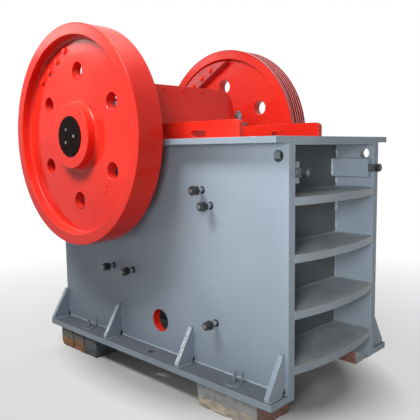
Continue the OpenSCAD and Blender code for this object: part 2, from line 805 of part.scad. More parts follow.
// Half outline of a wheel: radius against the distance from the rim's inner face, with
// hollow corners between web, hub and rim, and rounded rim edges.
module wheel_outline() {
    difference() {
        union() {
            translate([wheel_seat_r, 0]) square([hub_r - wheel_seat_r, rim_width]);
            translate([wheel_seat_r, web_inner]) square([rim_inner_r - wheel_seat_r + 1, web_t]);
            translate([rim_inner_r, 0]) square([rim_t, rim_width]);
            translate([hub_r, web_outer]) hollow_corner(fillet_r);
            translate([rim_inner_r, web_outer]) mirror([1, 0]) hollow_corner(fillet_r);
            translate([hub_r, web_inner]) mirror([0, 1]) hollow_corner(inner_fillet_r);
            translate([rim_inner_r, web_inner]) rotate(180) hollow_corner(inner_fillet_r);
        }
        translate([rim_inner_r, 0]) hollow_corner(rim_edge_r);
        translate([wheel_r, 0]) mirror([1, 0]) hollow_corner(rim_edge_r);
        translate([rim_inner_r, rim_width]) mirror([0, 1]) hollow_corner(rim_edge_r);
        translate([wheel_r, rim_width]) rotate(180) hollow_corner(rim_edge_r);
        translate([hub_r, rim_width]) rotate(180) hollow_corner(rim_edge_r);
    }
}

module web_hole_cuts(turn = 0) {
    hole_r = web_hole_d / 2;
    wide_r = hole_r + web_hole_chamfer;
    for (k = [0 : web_holes - 1])
        rotate([0, 0, web_hole_angle + turn + k * 360 / web_holes]) translate([web_hole_ring, 0, 0]) {
            cylinder(r = hole_r, h = rim_width);
            translate([0, 0, web_inner]) cylinder(r1 = wide_r, r2 = hole_r, h = web_hole_chamfer);
            translate([0, 0, web_outer - web_hole_chamfer])
                cylinder(r1 = hole_r, r2 = wide_r, h = web_hole_chamfer);
        }
}

// A wheel on the near side, from its inner face outwards; the far one is mirrored.
module wheel_place(side) {
    placed() on_side(side)
        translate([-shaft_back, -wheel_y, shaft_z]) rotate([90, 0, 0]) children();
}

module flywheel() {
    color(frame_red) wheel_place(-1) difference() {
        rotate_extrude($fn = 96) wheel_outline();
        web_hole_cuts();
    }
}

// Drive sheave: the same casting with V grooves for the belts.
module drive_sheave() {
    color(frame_red) wheel_place(1) difference() {
        rotate_extrude($fn = 96) difference() {
            wheel_outline();
            for (k = [0 : grooves - 1])
                translate([wheel_r, rim_width - groove_pitch * (k + 0.5)])
                    polygon([
                        [1, -groove_w / 2 - 0.3], [1, groove_w / 2 + 0.3],
                        [-groove_depth, groove_w / 4], [-groove_depth, -groove_w / 4]
                    ]);
        }
        web_hole_cuts(sheave_hole_turn);
    }
}

// Cast segment bolted to a web's inner side, cut straight along a chord.
module counterweight(side) {
    thickness = web_inner + weight_proud - seat;
    color(frame_red) wheel_place(side) translate([0, 0, -weight_proud]) rotate([0, 0, weight_angle])
        intersection() {
            cylinder(r = weight_r, h = thickness, $fn = 96);
            translate([weight_chord, -weight_r, -1]) cube([weight_r, 2 * weight_r, thickness + 2]);
        }
}

module shaft_end_caps() {
    color(dark_steel) for (side = [-1, 1])
        wheel_place(side) translate([0, 0, rim_width]) cylinder(r = cap_r, h = cap_t);
}

// Point on the moving plate's back, for a height between its ends.
function plate_back(z) = face_bottom + moving_plate_t / cos(lean)
    + (z - chamber_bottom) * tan(lean);

// Distance of the guard plate's front face from the front edge, at height z.
function guard_back(z) = shaft_back - guard_ahead - (guard_top_z - z) * tan(guard_lean);

// The same for its rear face, with the seat's clearance.
function guard_rear(z) = guard_back(z) + (guard_t + seat) / cos(guard_lean);

// Moving jaw casting: bearing head, leaning body, seat for the toggle, guard support.
module moving_jaw() {
    low = chamber_bottom - jaw_below;
    slant_share = 0.7;
    head_side = jaw_head_r * slant_share;
    pocket_high = shaft_z - jaw_head_r - pocket_drop;
    pocket_gap = (2 * jaw_body_y - (jaw_pockets + 1) * jaw_rib_t) / jaw_pockets;
    pocket_deep = 500;
    color(frame_red) placed() difference() {
        union() {
            cross_bar(shaft_back, shaft_z, jaw_head_r, -jaw_body_y, jaw_body_y);
            across(-jaw_body_y, jaw_body_y) polygon([
                [-plate_back(low), low],
                [-plate_back(chamber_top), chamber_top],
                [-guard_rear(guard_toe_z), guard_toe_z],
                [-guard_rear(guard_support_z), guard_support_z],
                [-guard_rear(guard_support_z) - guard_support_t, guard_support_z],
                [-shaft_back, shaft_z + jaw_head_r - 1],
                [-shaft_back - head_side, shaft_z - head_side],
                [-plate_back(jaw_knee_z) - 2 * jaw_body_t, jaw_knee_z],
                [-jaw_seat_rear, toggle_front_z + jaw_seat_rise],
                [-jaw_seat_rear, rod_z - rod_d],
                [-plate_back(low) - jaw_foot_t, low]
            ]);
        }
        cross_bar(shaft_back, shaft_z, jaw_journal_r + shaft_fit, -jaw_body_y - 1, jaw_body_y + 1);
        cross_bar(toggle_front_back, toggle_front_z, toggle_end_r + toggle_play,
            -jaw_body_y - 1, jaw_body_y + 1);
        for (k = [0 : jaw_pockets - 1])
            translate([0, -jaw_body_y + jaw_rib_t + k * (pocket_gap + jaw_rib_t), 0])
                across(0, pocket_gap) polygon([
                    [-plate_back(pocket_low) - pocket_wall, pocket_low],
                    [-plate_back(pocket_high) - pocket_wall, pocket_high],
                    [-plate_back(pocket_high) - pocket_deep, pocket_high],
                    [-plate_back(pocket_low) - pocket_deep, pocket_low]
                ]);
    }
}

module moving_jaw_plate() {
    color(cast_steel) placed()
        translate([-plate_back(chamber_bottom), 0, chamber_bottom]) rotate([0, -lean, 0])
            translate([seat, 0, 0])
            rotate([0, 0, -90]) toothed_plate(jaw_plate_y, face_length);
}

// Flat guard over the jaw's head, its upper corner on the far side rounded.
module jaw_guard_plate() {
    length = (guard_top_z - guard_foot_z) / cos(guard_lean);
    color(frame_red) placed()
        translate([-guard_back(guard_foot_z), 0, guard_foot_z]) rotate([0, -guard_lean, 0])
            translate([-guard_t, 0, 0]) rotate([90, 0, 90]) linear_extrude(height = guard_t) difference() {
                translate([-guard_width / 2, 0]) square([guard_width, length]);
                translate([guard_width / 2, length]) rotate(180) hollow_corner(guard_corner_r);
            }
}

module tension_rod() {
    start = jaw_seat_rear + seat;
    spring_end = rear_wall_back + spring_length;
    color(dark_steel) placed() translate([-start, 0, rod_z]) rotate([0, -90, 0]) {
        cylinder(d = rod_d, h = spring_end + rod_beyond - start);
        translate([0, 0, spring_end + rod_nut_gap - start]) cylinder(r = rod_nut_r, h = rod_nut_t, $fn = 6);
    }
}

side_plate(-1);  // side_plate_near
side_plate(1);  // side_plate_far
front_wall();
front_rib(1);  // front_rib_1
front_rib(2);  // front_rib_2
front_rib(3);  // front_rib_3
front_rib(4);  // front_rib_4
top_flange_side(-1);  // top_flange_near
top_flange_side(1);  // top_flange_far
top_flange_front();
base_flange(-1);  // base_flange_near
base_flange(1);  // base_flange_far
gussets(-1);  // gussets_near
gussets(1);  // gussets_far
rear_wall();
rear_rib(1);  // rear_rib_1
rear_rib(2);  // rear_rib_2
rear_rib(3);  // rear_rib_3
clamp_bar(-1);  // clamp_bar_near
clamp_bar(1);  // clamp_bar_far
bearing_housing(-1);  // bearing_housing_near
bearing_housing(1);  // bearing_housing_far
cheek_plate_upper(-1);  // cheek_plate_upper_near
cheek_plate_upper(1);  // cheek_plate_upper_far
cheek_plate_lower(-1);  // cheek_plate_lower_near
cheek_plate_lower(1);  // cheek_plate_lower_far
fixed_jaw_plate();
side_bolts(-1);  // side_bolts_near
side_bolts(1);  // side_bolts_far
toggle_seat_block();
adjusting_shims();
toggle_plate();
tension_spring();
support_block(block_front, -1);  // support_block_1
support_block(frame_length - block_rear, -1);  // support_block_2
odd_block();  // support_block_3
support_block(frame_length - block_rear, 1);  // support_block_4
eccentric_shaft();
flywheel();
drive_sheave();
counterweight(-1);  // counterweight_near
counterweight(1);  // counterweight_far
shaft_end_caps();
moving_jaw();
moving_jaw_plate();
jaw_guard_plate();
tension_rod();
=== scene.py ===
"""Looks of the jaw crusher: enamel, welds, bolts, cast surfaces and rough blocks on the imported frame."""

import json
import math

import bmesh
import bpy
from mathutils import Matrix, Vector, noise

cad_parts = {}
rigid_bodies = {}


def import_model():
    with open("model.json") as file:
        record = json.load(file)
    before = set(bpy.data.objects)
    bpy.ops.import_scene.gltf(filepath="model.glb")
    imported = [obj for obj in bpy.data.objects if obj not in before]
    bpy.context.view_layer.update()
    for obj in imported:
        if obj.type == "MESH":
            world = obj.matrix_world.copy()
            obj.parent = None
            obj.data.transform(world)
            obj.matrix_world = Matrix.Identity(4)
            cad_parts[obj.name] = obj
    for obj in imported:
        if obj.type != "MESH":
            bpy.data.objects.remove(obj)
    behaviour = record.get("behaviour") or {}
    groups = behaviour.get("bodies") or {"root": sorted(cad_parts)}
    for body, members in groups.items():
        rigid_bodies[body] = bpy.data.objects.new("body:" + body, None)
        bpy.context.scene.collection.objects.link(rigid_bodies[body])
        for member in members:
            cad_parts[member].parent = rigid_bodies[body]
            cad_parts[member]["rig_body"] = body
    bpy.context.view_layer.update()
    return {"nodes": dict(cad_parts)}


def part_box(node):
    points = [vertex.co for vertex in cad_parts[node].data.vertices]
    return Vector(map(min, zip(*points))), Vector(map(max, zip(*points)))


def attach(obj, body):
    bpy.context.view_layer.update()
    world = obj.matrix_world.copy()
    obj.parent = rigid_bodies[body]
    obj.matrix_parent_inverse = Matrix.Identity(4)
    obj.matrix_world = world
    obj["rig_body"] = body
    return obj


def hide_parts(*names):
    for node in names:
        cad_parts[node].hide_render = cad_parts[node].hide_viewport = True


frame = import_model()
NODES = frame["nodes"]

# Places that other sizes hang on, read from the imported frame. Lengths are in metres.
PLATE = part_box("side_plate_near")
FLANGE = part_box("base_flange_near")
FRONT_X = PLATE[1].x
REAR_X = PLATE[0].x
BASE_Z = PLATE[0].z
OUTER_Y = -PLATE[0].y
INNER_Y = -PLATE[1].y
FLANGE_Y = -FLANGE[0].y
FLANGE_TOP = FLANGE[1].z
WALL_FRONT_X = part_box("front_wall")[1].x
REAR_WALL_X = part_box("rear_wall")[0].x
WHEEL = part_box("flywheel")
AXIS_X = (WHEEL[0].x + WHEEL[1].x) / 2
AXIS_Z = (WHEEL[0].z + WHEEL[1].z) / 2
RIM_Y = -WHEEL[0].y

# Both sides as the sign of y and the name, the ribs, and two directions.
SIDES = ((-1, "near"), (1, "far"))
FRONT_RIBS = ("front_rib_1", "front_rib_2", "front_rib_3", "front_rib_4")
REAR_RIBS = ("rear_rib_1", "rear_rib_2", "rear_rib_3")
AHEAD = Vector((1, 0, 0))
UP = Vector((0, 0, 1))

# Radii of the worn edges of thin plates, thick plates and castings.
PLATE_EDGE = 0.003
THICK_EDGE = 0.004
CAST_EDGE = 0.006

# Faces that meet at more degrees than these keep a sharp edge between them.
SHARP = 32.0
WHEEL_SHARP = 28.0
BLOCK_SHARP = 50.0
WELD_SHARP = 60.0

# Size of a weld bead on the ribs and gussets.
BEAD = 0.007

# Bolt heads are nuts whose bore is this small and closed.
NO_BORE = 0.001

# The mark on bevelled faces, which the enamels read.
EDGE_MARK = "edge"

WHITE = (1.0, 1.0, 1.0, 1.0)


# Meshes and pieces

def add_piece(name, mesh, materials, body, sharp=SHARP):
    """Turns a bmesh into a smooth-shaded piece that rides on a body."""
    data = bpy.data.meshes.new(name)
    mesh.to_mesh(data)
    mesh.free()
    for material in materials:
        data.materials.append(material)
    data.shade_smooth()
    data.set_sharp_from_angle(angle=math.radians(sharp))
    piece = bpy.data.objects.new(name, data)
    bpy.context.scene.collection.objects.link(piece)
    normals = piece.modifiers.new("even_normals", "WEIGHTED_NORMAL")
    normals.keep_sharp = True
    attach(piece, body)
    return piece


def stand_in(node, mesh, materials, name=None, sharp=SHARP):
    """Adds a piece that stands for a plain node and rides on the node's body."""
    body = NODES[node]["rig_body"]
    piece = add_piece(name or node + "_finished", mesh, materials, body, sharp)
    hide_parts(node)


def joined_mesh(node):
    """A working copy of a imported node's mesh, its triangles joined at their corners."""
    mesh = bmesh.new()
    mesh.from_mesh(NODES[node].data)
    bmesh.ops.remove_doubles(mesh, verts=mesh.verts, dist=0.00002)
    return mesh


def cad_mesh(node):
    """A node's joined mesh with each flat face in one piece."""
    flat = math.radians(0.6)
    mesh = joined_mesh(node)
    bmesh.ops.dissolve_limit(mesh, angle_limit=flat, verts=mesh.verts, edges=mesh.edges)
    return mesh


def round_edges(mesh, width, steps=2):
    """Bevels every sharp edge and marks the new faces as worn edges."""
    sharp = math.radians(30)
    worn = mesh.faces.layers.float.new(EDGE_MARK)
    edges = [e for e in mesh.edges if len(e.link_faces) == 2 and e.calc_face_angle(0.0) > sharp]
    made = bmesh.ops.bevel(
        mesh, geom=edges, offset=width, segments=steps, profile=0.6,
        affect="EDGES", clamp_overlap=True)
    for face in made["faces"]:
        face[worn] = 1.0


def dress(node, material, edge=PLATE_EDGE, steps=2, sharp=SHARP):
    """A node's own shape with rounded edges, standing for the plain node."""
    mesh = cad_mesh(node)
    if edge:
        round_edges(mesh, edge, steps)
    stand_in(node, mesh, [material], sharp=sharp)


def both(stem):
    """The near and the far node of a pair."""
    return stem + "_near", stem + "_far"


def islands(node):
    """Low and high corners of each separate solid of a node."""
    mesh = joined_mesh(node)
    left = set(mesh.verts)
    boxes = []
    while left:
        front = [left.pop()]
        found = list(front)
        while front:
            vert = front.pop()
            for edge in vert.link_edges:
                other = edge.other_vert(vert)
                if other in left:
                    left.discard(other)
                    front.append(other)
                    found.append(other)
        low = Vector([min(v.co[i] for v in found) for i in range(3)])
        high = Vector([max(v.co[i] for v in found) for i in range(3)])
        boxes.append((low, high))
    mesh.free()
    return sorted(boxes, key=lambda pair: tuple(pair[0]))


def put_box(mesh, middle, size):
    """Adds a box of a size about its middle."""
    for vert in bmesh.ops.create_cube(mesh, size=1.0)["verts"]:
        vert.co = middle + Vector([vert.co[i] * size[i] for i in range(3)])


def axes_along(direction):
    """A direction as a unit vector, and two unit vectors square to it and to each other."""
    along = Vector(direction).normalized()
    across = along.orthogonal().normalized()
    return along, across, along.cross(across)


def circle(across, up, radius, steps):
    """Offsets round a circle in the plane of two unit vectors."""
    angles = [2 * math.pi * k / steps for k in range(steps)]
    return [(across * math.cos(angle) + up * math.sin(angle)) * radius for angle in angles]


def ring_faces(mesh, first, second):
    """Quads between two rings of vertices; a ring of one vertex makes a fan."""
    count = max(len(first), len(second))
    for k in range(count):
        after = (k + 1) % count
        corners = [first[k % len(first)], first[after % len(first)],
                   second[after % len(second)], second[k % len(second)]]
        unique = list(dict.fromkeys(corners))
        if len(unique) > 2:
            mesh.faces.new(unique)


def skin(mesh, rings, capped=False):
    """Faces between rings of vertices, and over the first and the last if asked."""
    for first, second in zip(rings, rings[1:]):
        ring_faces(mesh, first, second)
    if capped:
        mesh.faces.new(rings[0])
        mesh.faces.new(rings[-1])


def revolve(mesh, profile, centre, direction, steps):
    """Turns (radius, distance along the axis) points about an axis."""
    along, across, up = axes_along(direction)
    rings = []
    for radius, distance in profile:
        middle = Vector(centre) + along * distance
        spots = circle(across, up, radius, steps) if radius else [Vector()]
        rings.append([mesh.verts.new(middle + spot) for spot in spots])
    skin(mesh, rings)


def hex_nut(mesh, centre, direction, corner_r, height, turn=0.0, bore_r=NO_BORE):
    """Hexagon nut or bolt head with the curved chamfer that a lathe leaves."""
    steps = 60
    sixth = math.pi / 3
    chamfer = math.radians(30)
    along, across, up = axes_along(direction)
    flat_r = corner_r * math.cos(sixth / 2)
    crown_r = flat_r * 0.96
    rings = [[], [], [], [], []]
    for k in range(steps):
        angle = 2 * math.pi * k / steps
        hex_r = flat_r / math.cos(angle % sixth - sixth / 2)
        drop = (hex_r - crown_r) * math.tan(chamfer)
        unit = across * math.cos(angle + turn) + up * math.sin(angle + turn)
        spots = ((bore_r, 0.0), (hex_r, 0.0), (hex_r, height - drop), (crown_r, height),
                 (bore_r, height))
        for ring, (radius, distance) in zip(rings, spots):
            ring.append(mesh.verts.new(Vector(centre) + along * distance + unit * radius))
    skin(mesh, rings, capped=bore_r == NO_BORE)


def threaded_bar(mesh, centre, direction, radius, length, pitch, depth):
    """Bar with thread ridges and a chamfered free end."""
    steps = 28
    root_r = radius - depth
    profile = [(root_r, 0.0)]
    distance = pitch
    while distance < length - pitch * 1.5:
        profile += [(radius, distance - pitch / 2), (root_r, distance)]
        distance += pitch
    profile += [(root_r, length - pitch), (radius - depth * 2.5, length), (0, length)]
    revolve(mesh, profile, centre, direction, steps)


def washer(mesh, centre, direction, outer_r, inner_r, thickness):
    """Flat ring with eased edges."""
    steps = 44
    ease = thickness * 0.2
    profile = [(inner_r, 0), (inner_r, thickness), (outer_r - ease, thickness),
               (outer_r, thickness - ease), (outer_r, 0)]
    revolve(mesh, profile, centre, direction, steps)


def weld(mesh, start, end, face_a, face_b, size, seed):
    """Rippled bead in the corner between two faces, from start to end."""
    step_length = 0.005
    ripple_pitch = 0.011
    arc_steps = 5
    hollow = 0.30
    end_share = 0.4
    sink = 0.001
    start = Vector(start)
    run = Vector(end) - start
    count = max(3, int(run.length / step_length))
    rings = []
    for k in range(count + 1):
        share = k / count
        spot = start + run * share
        wave = noise.noise(spot * 9.0 + Vector((seed, 0, 0)))
        ripple = abs(math.sin(math.pi * run.length * share / ripple_pitch + wave * 3))
        width = size * (0.86 + 0.16 * wave + 0.12 * ripple)
        if k in (0, count):
            width *= end_share
        ring = []
        for step in range(arc_steps + 1):
            angle = math.pi / 2 * step / arc_steps
            reach = width * (1.0 - hollow * math.sin(2 * angle))
            ring.append(mesh.verts.new(
                spot + face_a * math.cos(angle) * reach + face_b * math.sin(angle) * reach))
        ring.append(mesh.verts.new(spot - (face_a + face_b) * sink))
        rings.append(ring)
    skin(mesh, rings, capped=True)


def sweep(mesh, points, radius, steps):
    """Round bar along a row of points."""
    rings = []
    side = None
    for k, point in enumerate(points):
        ahead = points[min(k + 1, len(points) - 1)] - points[max(k - 1, 0)]
        along = ahead.normalized()
        if side is None:
            side = along.orthogonal().normalized()
        side = (side - along * side.dot(along)).normalized()
        spots = circle(side, along.cross(side), radius, steps)
        rings.append([mesh.verts.new(point + spot) for spot in spots])
    skin(mesh, rings, capped=True)


# Materials

def feed(tree, node, inputs):
    """Fills a node's inputs; each value is a socket to link or a constant."""
    for key, value in inputs.items():
        if isinstance(value, bpy.types.NodeSocket):
            tree.links.new(value, node.inputs[key])
        else:
            node.inputs[key].default_value = value


def add_node(tree, kind, inputs):
    """A new node with its inputs filled."""
    node = tree.nodes.new(kind)
    feed(tree, node, inputs)
    return node


def new_material(name):
    """A material with its node tree and its shader."""
    material = bpy.data.materials.new(name)
    material.use_nodes = True
    return material, material.node_tree, material.node_tree.nodes["Principled BSDF"]


def place_input(tree):
    """The place on the object, in the object's own coordinates."""
    return tree.nodes.new("ShaderNodeTexCoord").outputs["Object"]


def noise_value(tree, scale, detail, rough, stretch=None):
    """Noise over the object's own coordinates, stretched along an axis if asked."""
    place = place_input(tree)
    if stretch:
        mapping = add_node(tree, "ShaderNodeMapping", {"Vector": place, "Scale": stretch})
        place = mapping.outputs["Vector"]
    texture = add_node(tree, "ShaderNodeTexNoise", {
        "Vector": place, "Scale": scale, "Detail": detail, "Roughness": rough})
    return texture.outputs["Fac"]


def spread(tree, value, low, high, to_low=0.0, to_high=1.0):
    """Carries a value from one range to another, held at its ends."""
    mapping = add_node(tree, "ShaderNodeMapRange", {
        "Value": value, "From Min": low, "From Max": high, "To Min": to_low, "To Max": to_high})
    return mapping.outputs["Result"]


def combine(tree, operation, first, second):
    """Maths on two values; each is a socket or a number."""
    step = tree.nodes.new("ShaderNodeMath")
    step.operation = operation
    feed(tree, step, {0: first, 1: second})
    return step.outputs["Value"]


def blend_colour(tree, share, first, second):
    """Mixes two colours by a share; each is a socket or a red, green, blue triple."""
    first, second = [(*value, 1.0) if isinstance(value, tuple) else value for value in (first, second)]
    mix = tree.nodes.new("ShaderNodeMix")
    mix.data_type = "RGBA"
    # Inputs 6 and 7 are the colours of this kind of node, and output 2 is the mixed one.
    feed(tree, mix, {0: share, 6: first, 7: second})
    return mix.outputs[2]


def bumps(tree, layers):
    """Adds height layers of (value, strength, distance) and gives the bent normal."""
    below = {}
    for height, strength, distance in layers:
        bump = add_node(tree, "ShaderNodeBump", {
            "Height": height, "Strength": strength, "Distance": distance, **below})
        below = {"Normal": bump.outputs["Normal"]}
    return below["Normal"]


def facing_up(tree):
    """How far a surface faces upwards, from its true normal."""
    geometry = tree.nodes.new("ShaderNodeNewGeometry")
    split = add_node(tree, "ShaderNodeSeparateXYZ", {"Vector": geometry.outputs["Normal"]})
    return spread(tree, split.outputs["Z"], 0.55, 0.95)


def worn_edge(tree):
    """The mark that round_edges leaves on bevelled faces, broken up by noise."""
    mark = tree.nodes.new("ShaderNodeAttribute")
    mark.attribute_name = EDGE_MARK
    patches = spread(tree, noise_value(tree, 21.0, 5.0, 0.65), 0.50, 0.62)
    return combine(tree, "MULTIPLY", mark.outputs["Fac"], patches)


def enamel(name, colour, shade, dust_and_top_light, wear, gloss, dust_and_top_light_share=0.3, coat=0.0, peel=0.14, shine=0.3,
           even=0.25):
    """Brushed or sprayed enamel on steel: uneven film, a dusting on up-facing faces that is also a painted
    sheen on rib tops and painted shade on base tops, worn edges, orange peel.
    """
    material, tree, shader = new_material(name)
    broad = spread(tree, noise_value(tree, 1.7, 3.0, 0.5), 0.35, 0.65)
    fine = spread(tree, noise_value(tree, 34.0, 6.0, 0.6), 0.3, 0.7, 0.0, 0.22)
    # The colour laid on up-facing faces is a dusting, and also a painted sheen on the rib tops and painted
    # shade on the base flange tops.
    top_patches = spread(tree, noise_value(tree, 7.0, 6.0, 0.65), 0.30, 0.62, even, dust_and_top_light_share)
    top_layer = combine(tree, "MULTIPLY", facing_up(tree), top_patches)
    rubbed = worn_edge(tree)
    base = blend_colour(tree, broad, colour, shade)
    base = blend_colour(tree, fine, base, shade)
    base = blend_colour(tree, top_layer, base, dust_and_top_light)
    base = blend_colour(tree, combine(tree, "MULTIPLY", rubbed, 0.75), base, wear)
    smear = spread(tree, noise_value(tree, 5.0, 5.0, 0.6), 0.3, 0.7, gloss - 0.05, gloss + 0.08)
    rough = combine(tree, "ADD", smear, combine(tree, "MULTIPLY", top_layer, 0.35))
    rough = combine(tree, "ADD", rough, combine(tree, "MULTIPLY", rubbed, 0.12))
    waves = noise_value(tree, 5.5, 2.0, 0.4)
    pores = noise_value(tree, 150.0, 2.0, 0.4)
    feed(tree, shader, {
        "Base Color": base,
        "Roughness": rough,
        "Normal": bumps(tree, [(waves, 0.35, 0.004), (pores, peel, 0.0012)]),
        "Coat Weight": coat,
        "Coat Roughness": 0.12,
        "Specular IOR Level": shine})
    return material


def weld_paint(name, colour, shade, spatter, low, high):
    """Paint over a weld bead; spatter sets in where a broad noise goes from low to high."""
    material, tree, shader = new_material(name)
    film = spread(tree, noise_value(tree, 12.0, 5.0, 0.6), 0.35, 0.65)
    runs = spread(tree, noise_value(tree, 4.0, 2.0, 0.5), low, high)
    grains = spread(tree, noise_value(tree, 70.0, 3.0, 0.6), 0.52, 0.60, 0.0, 0.75)
    base = blend_colour(tree, film, colour, shade)
    base = blend_colour(tree, combine(tree, "MULTIPLY", runs, grains), base, spatter)
    lumps = noise_value(tree, 120.0, 3.0, 0.6)
    feed(tree, shader, {
        "Base Color": base,
        "Roughness": spread(tree, film, 0.0, 1.0, 0.40, 0.55),
        "Normal": bumps(tree, [(lumps, 0.4, 0.002)]),
        "Specular IOR Level": 0.3})
    return material


def cast_surface(name, colour, shade, rough, grain, coat=0.0):
    """Painted or bare casting: sandy skin, shallow pits and darker hollows."""
    material, tree, shader = new_material(name)
    patches = spread(tree, noise_value(tree, 9.0, 6.0, 0.65), 0.32, 0.68)
    specks = spread(tree, noise_value(tree, 90.0, 4.0, 0.7), 0.52, 0.70, 0.0, 0.45)
    base = blend_colour(tree, patches, colour, shade)
    base = blend_colour(tree, specks, base, shade)
    smear = noise_value(tree, 14.0, 5.0, 0.6)
    pits = noise_value(tree, 26.0, 5.0, 0.7)
    sand = noise_value(tree, 170.0, 3.0, 0.6)
    feed(tree, shader, {
        "Base Color": base,
        "Roughness": spread(tree, smear, 0.3, 0.7, rough - 0.1, rough + 0.12),
        "Normal": bumps(tree, [(pits, 0.5, 0.006), (sand, grain, 0.002)]),
        "Coat Weight": coat,
        "Coat Roughness": 0.25})
    return material


def bare_metal(name, colour, shade, rough, metal, shine=0.5):
    """Machined or blackened steel with faint stains and scratches."""
    material, tree, shader = new_material(name)
    stains = spread(tree, noise_value(tree, 16.0, 6.0, 0.65), 0.36, 0.66)
    scratches = noise_value(tree, 60.0, 4.0, 0.6, stretch=(1.0, 6.0, 1.0))
    feed(tree, shader, {
        "Base Color": blend_colour(tree, stains, colour, shade),
        "Roughness": spread(tree, scratches, 0.3, 0.7, rough - 0.08, rough + 0.12),
        "Normal": bumps(tree, [(scratches, 0.25, 0.0008)]),
        "Metallic": metal,
        "Specular IOR Level": shine})
    return material


def block_surface(name, crust, core, stain, split):
    """Weathered block: a crust above a broken core from a share of its height, with stains."""
    split_z = BASE_Z * split
    ragged = 0.030
    soft = 0.006
    material, tree, shader = new_material(name)
    height = add_node(tree, "ShaderNodeSeparateXYZ", {"Vector": place_input(tree)})
    waves = spread(tree, noise_value(tree, 12.0, 6.0, 0.7), 0.3, 0.7, -ragged, ragged)
    level = combine(tree, "ADD", height.outputs["Z"], waves)
    is_crust = spread(tree, level, split_z - soft, split_z + soft)
    flakes = spread(tree, noise_value(tree, 30.0, 8.0, 0.75, stretch=(0.5, 0.5, 2.0)), 0.35, 0.65)
    worn = spread(tree, noise_value(tree, 18.0, 7.0, 0.7), 0.35, 0.7)
    spots = spread(tree, noise_value(tree, 6.0, 5.0, 0.6), 0.54, 0.66, 0.0, 0.8)
    broken = blend_colour(tree, flakes, core, tuple(0.42 * value for value in core))
    top = blend_colour(tree, worn, crust, tuple(0.6 * value for value in crust))
    base = blend_colour(tree, is_crust, broken, top)
    lumps = noise_value(tree, 11.0, 6.0, 0.65)
    grain = noise_value(tree, 45.0, 8.0, 0.75, stretch=(0.4, 0.4, 2.5))
    feed(tree, shader, {
        "Base Color": blend_colour(tree, spots, base, stain),
        "Roughness": 0.85,
        "Normal": bumps(tree, [(lumps, 0.7, 0.02), (grain, 0.7, 0.008)])})
    return material


RED = enamel(
    "red_enamel", (0.84, 0.034, 0.018), (0.74, 0.022, 0.013), dust_and_top_light=(0.50, 0.10, 0.08),
    wear=(0.75, 0.22, 0.18), gloss=0.15, coat=0.08, peel=0.08, shine=0.14)
GREY = enamel(
    "grey_enamel", (0.285, 0.345, 0.41), (0.245, 0.30, 0.36), dust_and_top_light=(0.19, 0.20, 0.205),
    dust_and_top_light_share=0.6, wear=(0.50, 0.53, 0.56), gloss=0.40, coat=0.06, shine=0.25)
# Front ribs: the light colour on their up-facing tops is partly a dusting and partly a painted sheen.
RIB_GREY = enamel(
    "rib_enamel_painted_sheen", (0.27, 0.315, 0.355), (0.22, 0.26, 0.295), dust_and_top_light=(0.46, 0.49, 0.495),
    dust_and_top_light_share=0.85, wear=(0.45, 0.48, 0.50), gloss=0.34, coat=0.10)
# A darker, less blue grey for the front wall at the back of the bays and for the bores of holes: painted
# shade.
SHADED_WALL_GREY = enamel(
    "wall_enamel_painted_shade", (0.135, 0.148, 0.155), (0.10, 0.11, 0.115), dust_and_top_light=(0.12, 0.12, 0.12),
    dust_and_top_light_share=0.6, wear=(0.30, 0.32, 0.33), gloss=0.50)
# Base flanges and anchor washers: the dark colour over nearly all their up-facing tops is painted shade.
BASE_GREY = enamel(
    "base_enamel_painted_shade", (0.285, 0.345, 0.41), (0.22, 0.265, 0.31), dust_and_top_light=(0.090, 0.100, 0.114),
    dust_and_top_light_share=0.95, wear=(0.46, 0.50, 0.53), gloss=0.44, coat=0.05, peel=0.16, even=0.80)
# Dark red on the belt grooves' flanks and floors: painted shade.
GROOVE_SHADE_RED = enamel(
    "groove_red_painted_shade", (0.42, 0.014, 0.012), (0.34, 0.010, 0.009), dust_and_top_light=(0.30, 0.05, 0.05),
    wear=(0.30, 0.05, 0.05), gloss=0.35, peel=0.08, shine=0.14)
# Pale pink on the narrow ridges between the belt grooves: a painted highlight.
RIDGE_HIGHLIGHT_RED = enamel(
    "ridge_painted_highlight", (0.96, 0.50, 0.52), (0.92, 0.36, 0.37), dust_and_top_light=(0.90, 0.45, 0.46),
    wear=(0.95, 0.55, 0.55), gloss=0.30, coat=0.1, peel=0.08)
WELD = weld_paint(
    "weld_paint", (0.275, 0.33, 0.39), (0.215, 0.26, 0.31), spatter=(0.50, 0.53, 0.55), low=0.5, high=0.62)
RUBBED_GREY = weld_paint(
    "rubbed_enamel", (0.36, 0.415, 0.475), (0.30, 0.35, 0.40), spatter=(0.80, 0.82, 0.84),
    low=0.1, high=0.3)
CAST_RED = cast_surface(
    "cast_red", (0.66, 0.090, 0.085), (0.46, 0.045, 0.045), rough=0.42, grain=0.4, coat=0.1)
JAW_STEEL = cast_surface(
    "jaw_steel", (0.135, 0.130, 0.128), (0.070, 0.066, 0.064), rough=0.50, grain=0.5)
BOLT_GREY = bare_metal(
    "bolt_grey", (0.110, 0.120, 0.130), (0.070, 0.075, 0.080), rough=0.45, metal=0.2)
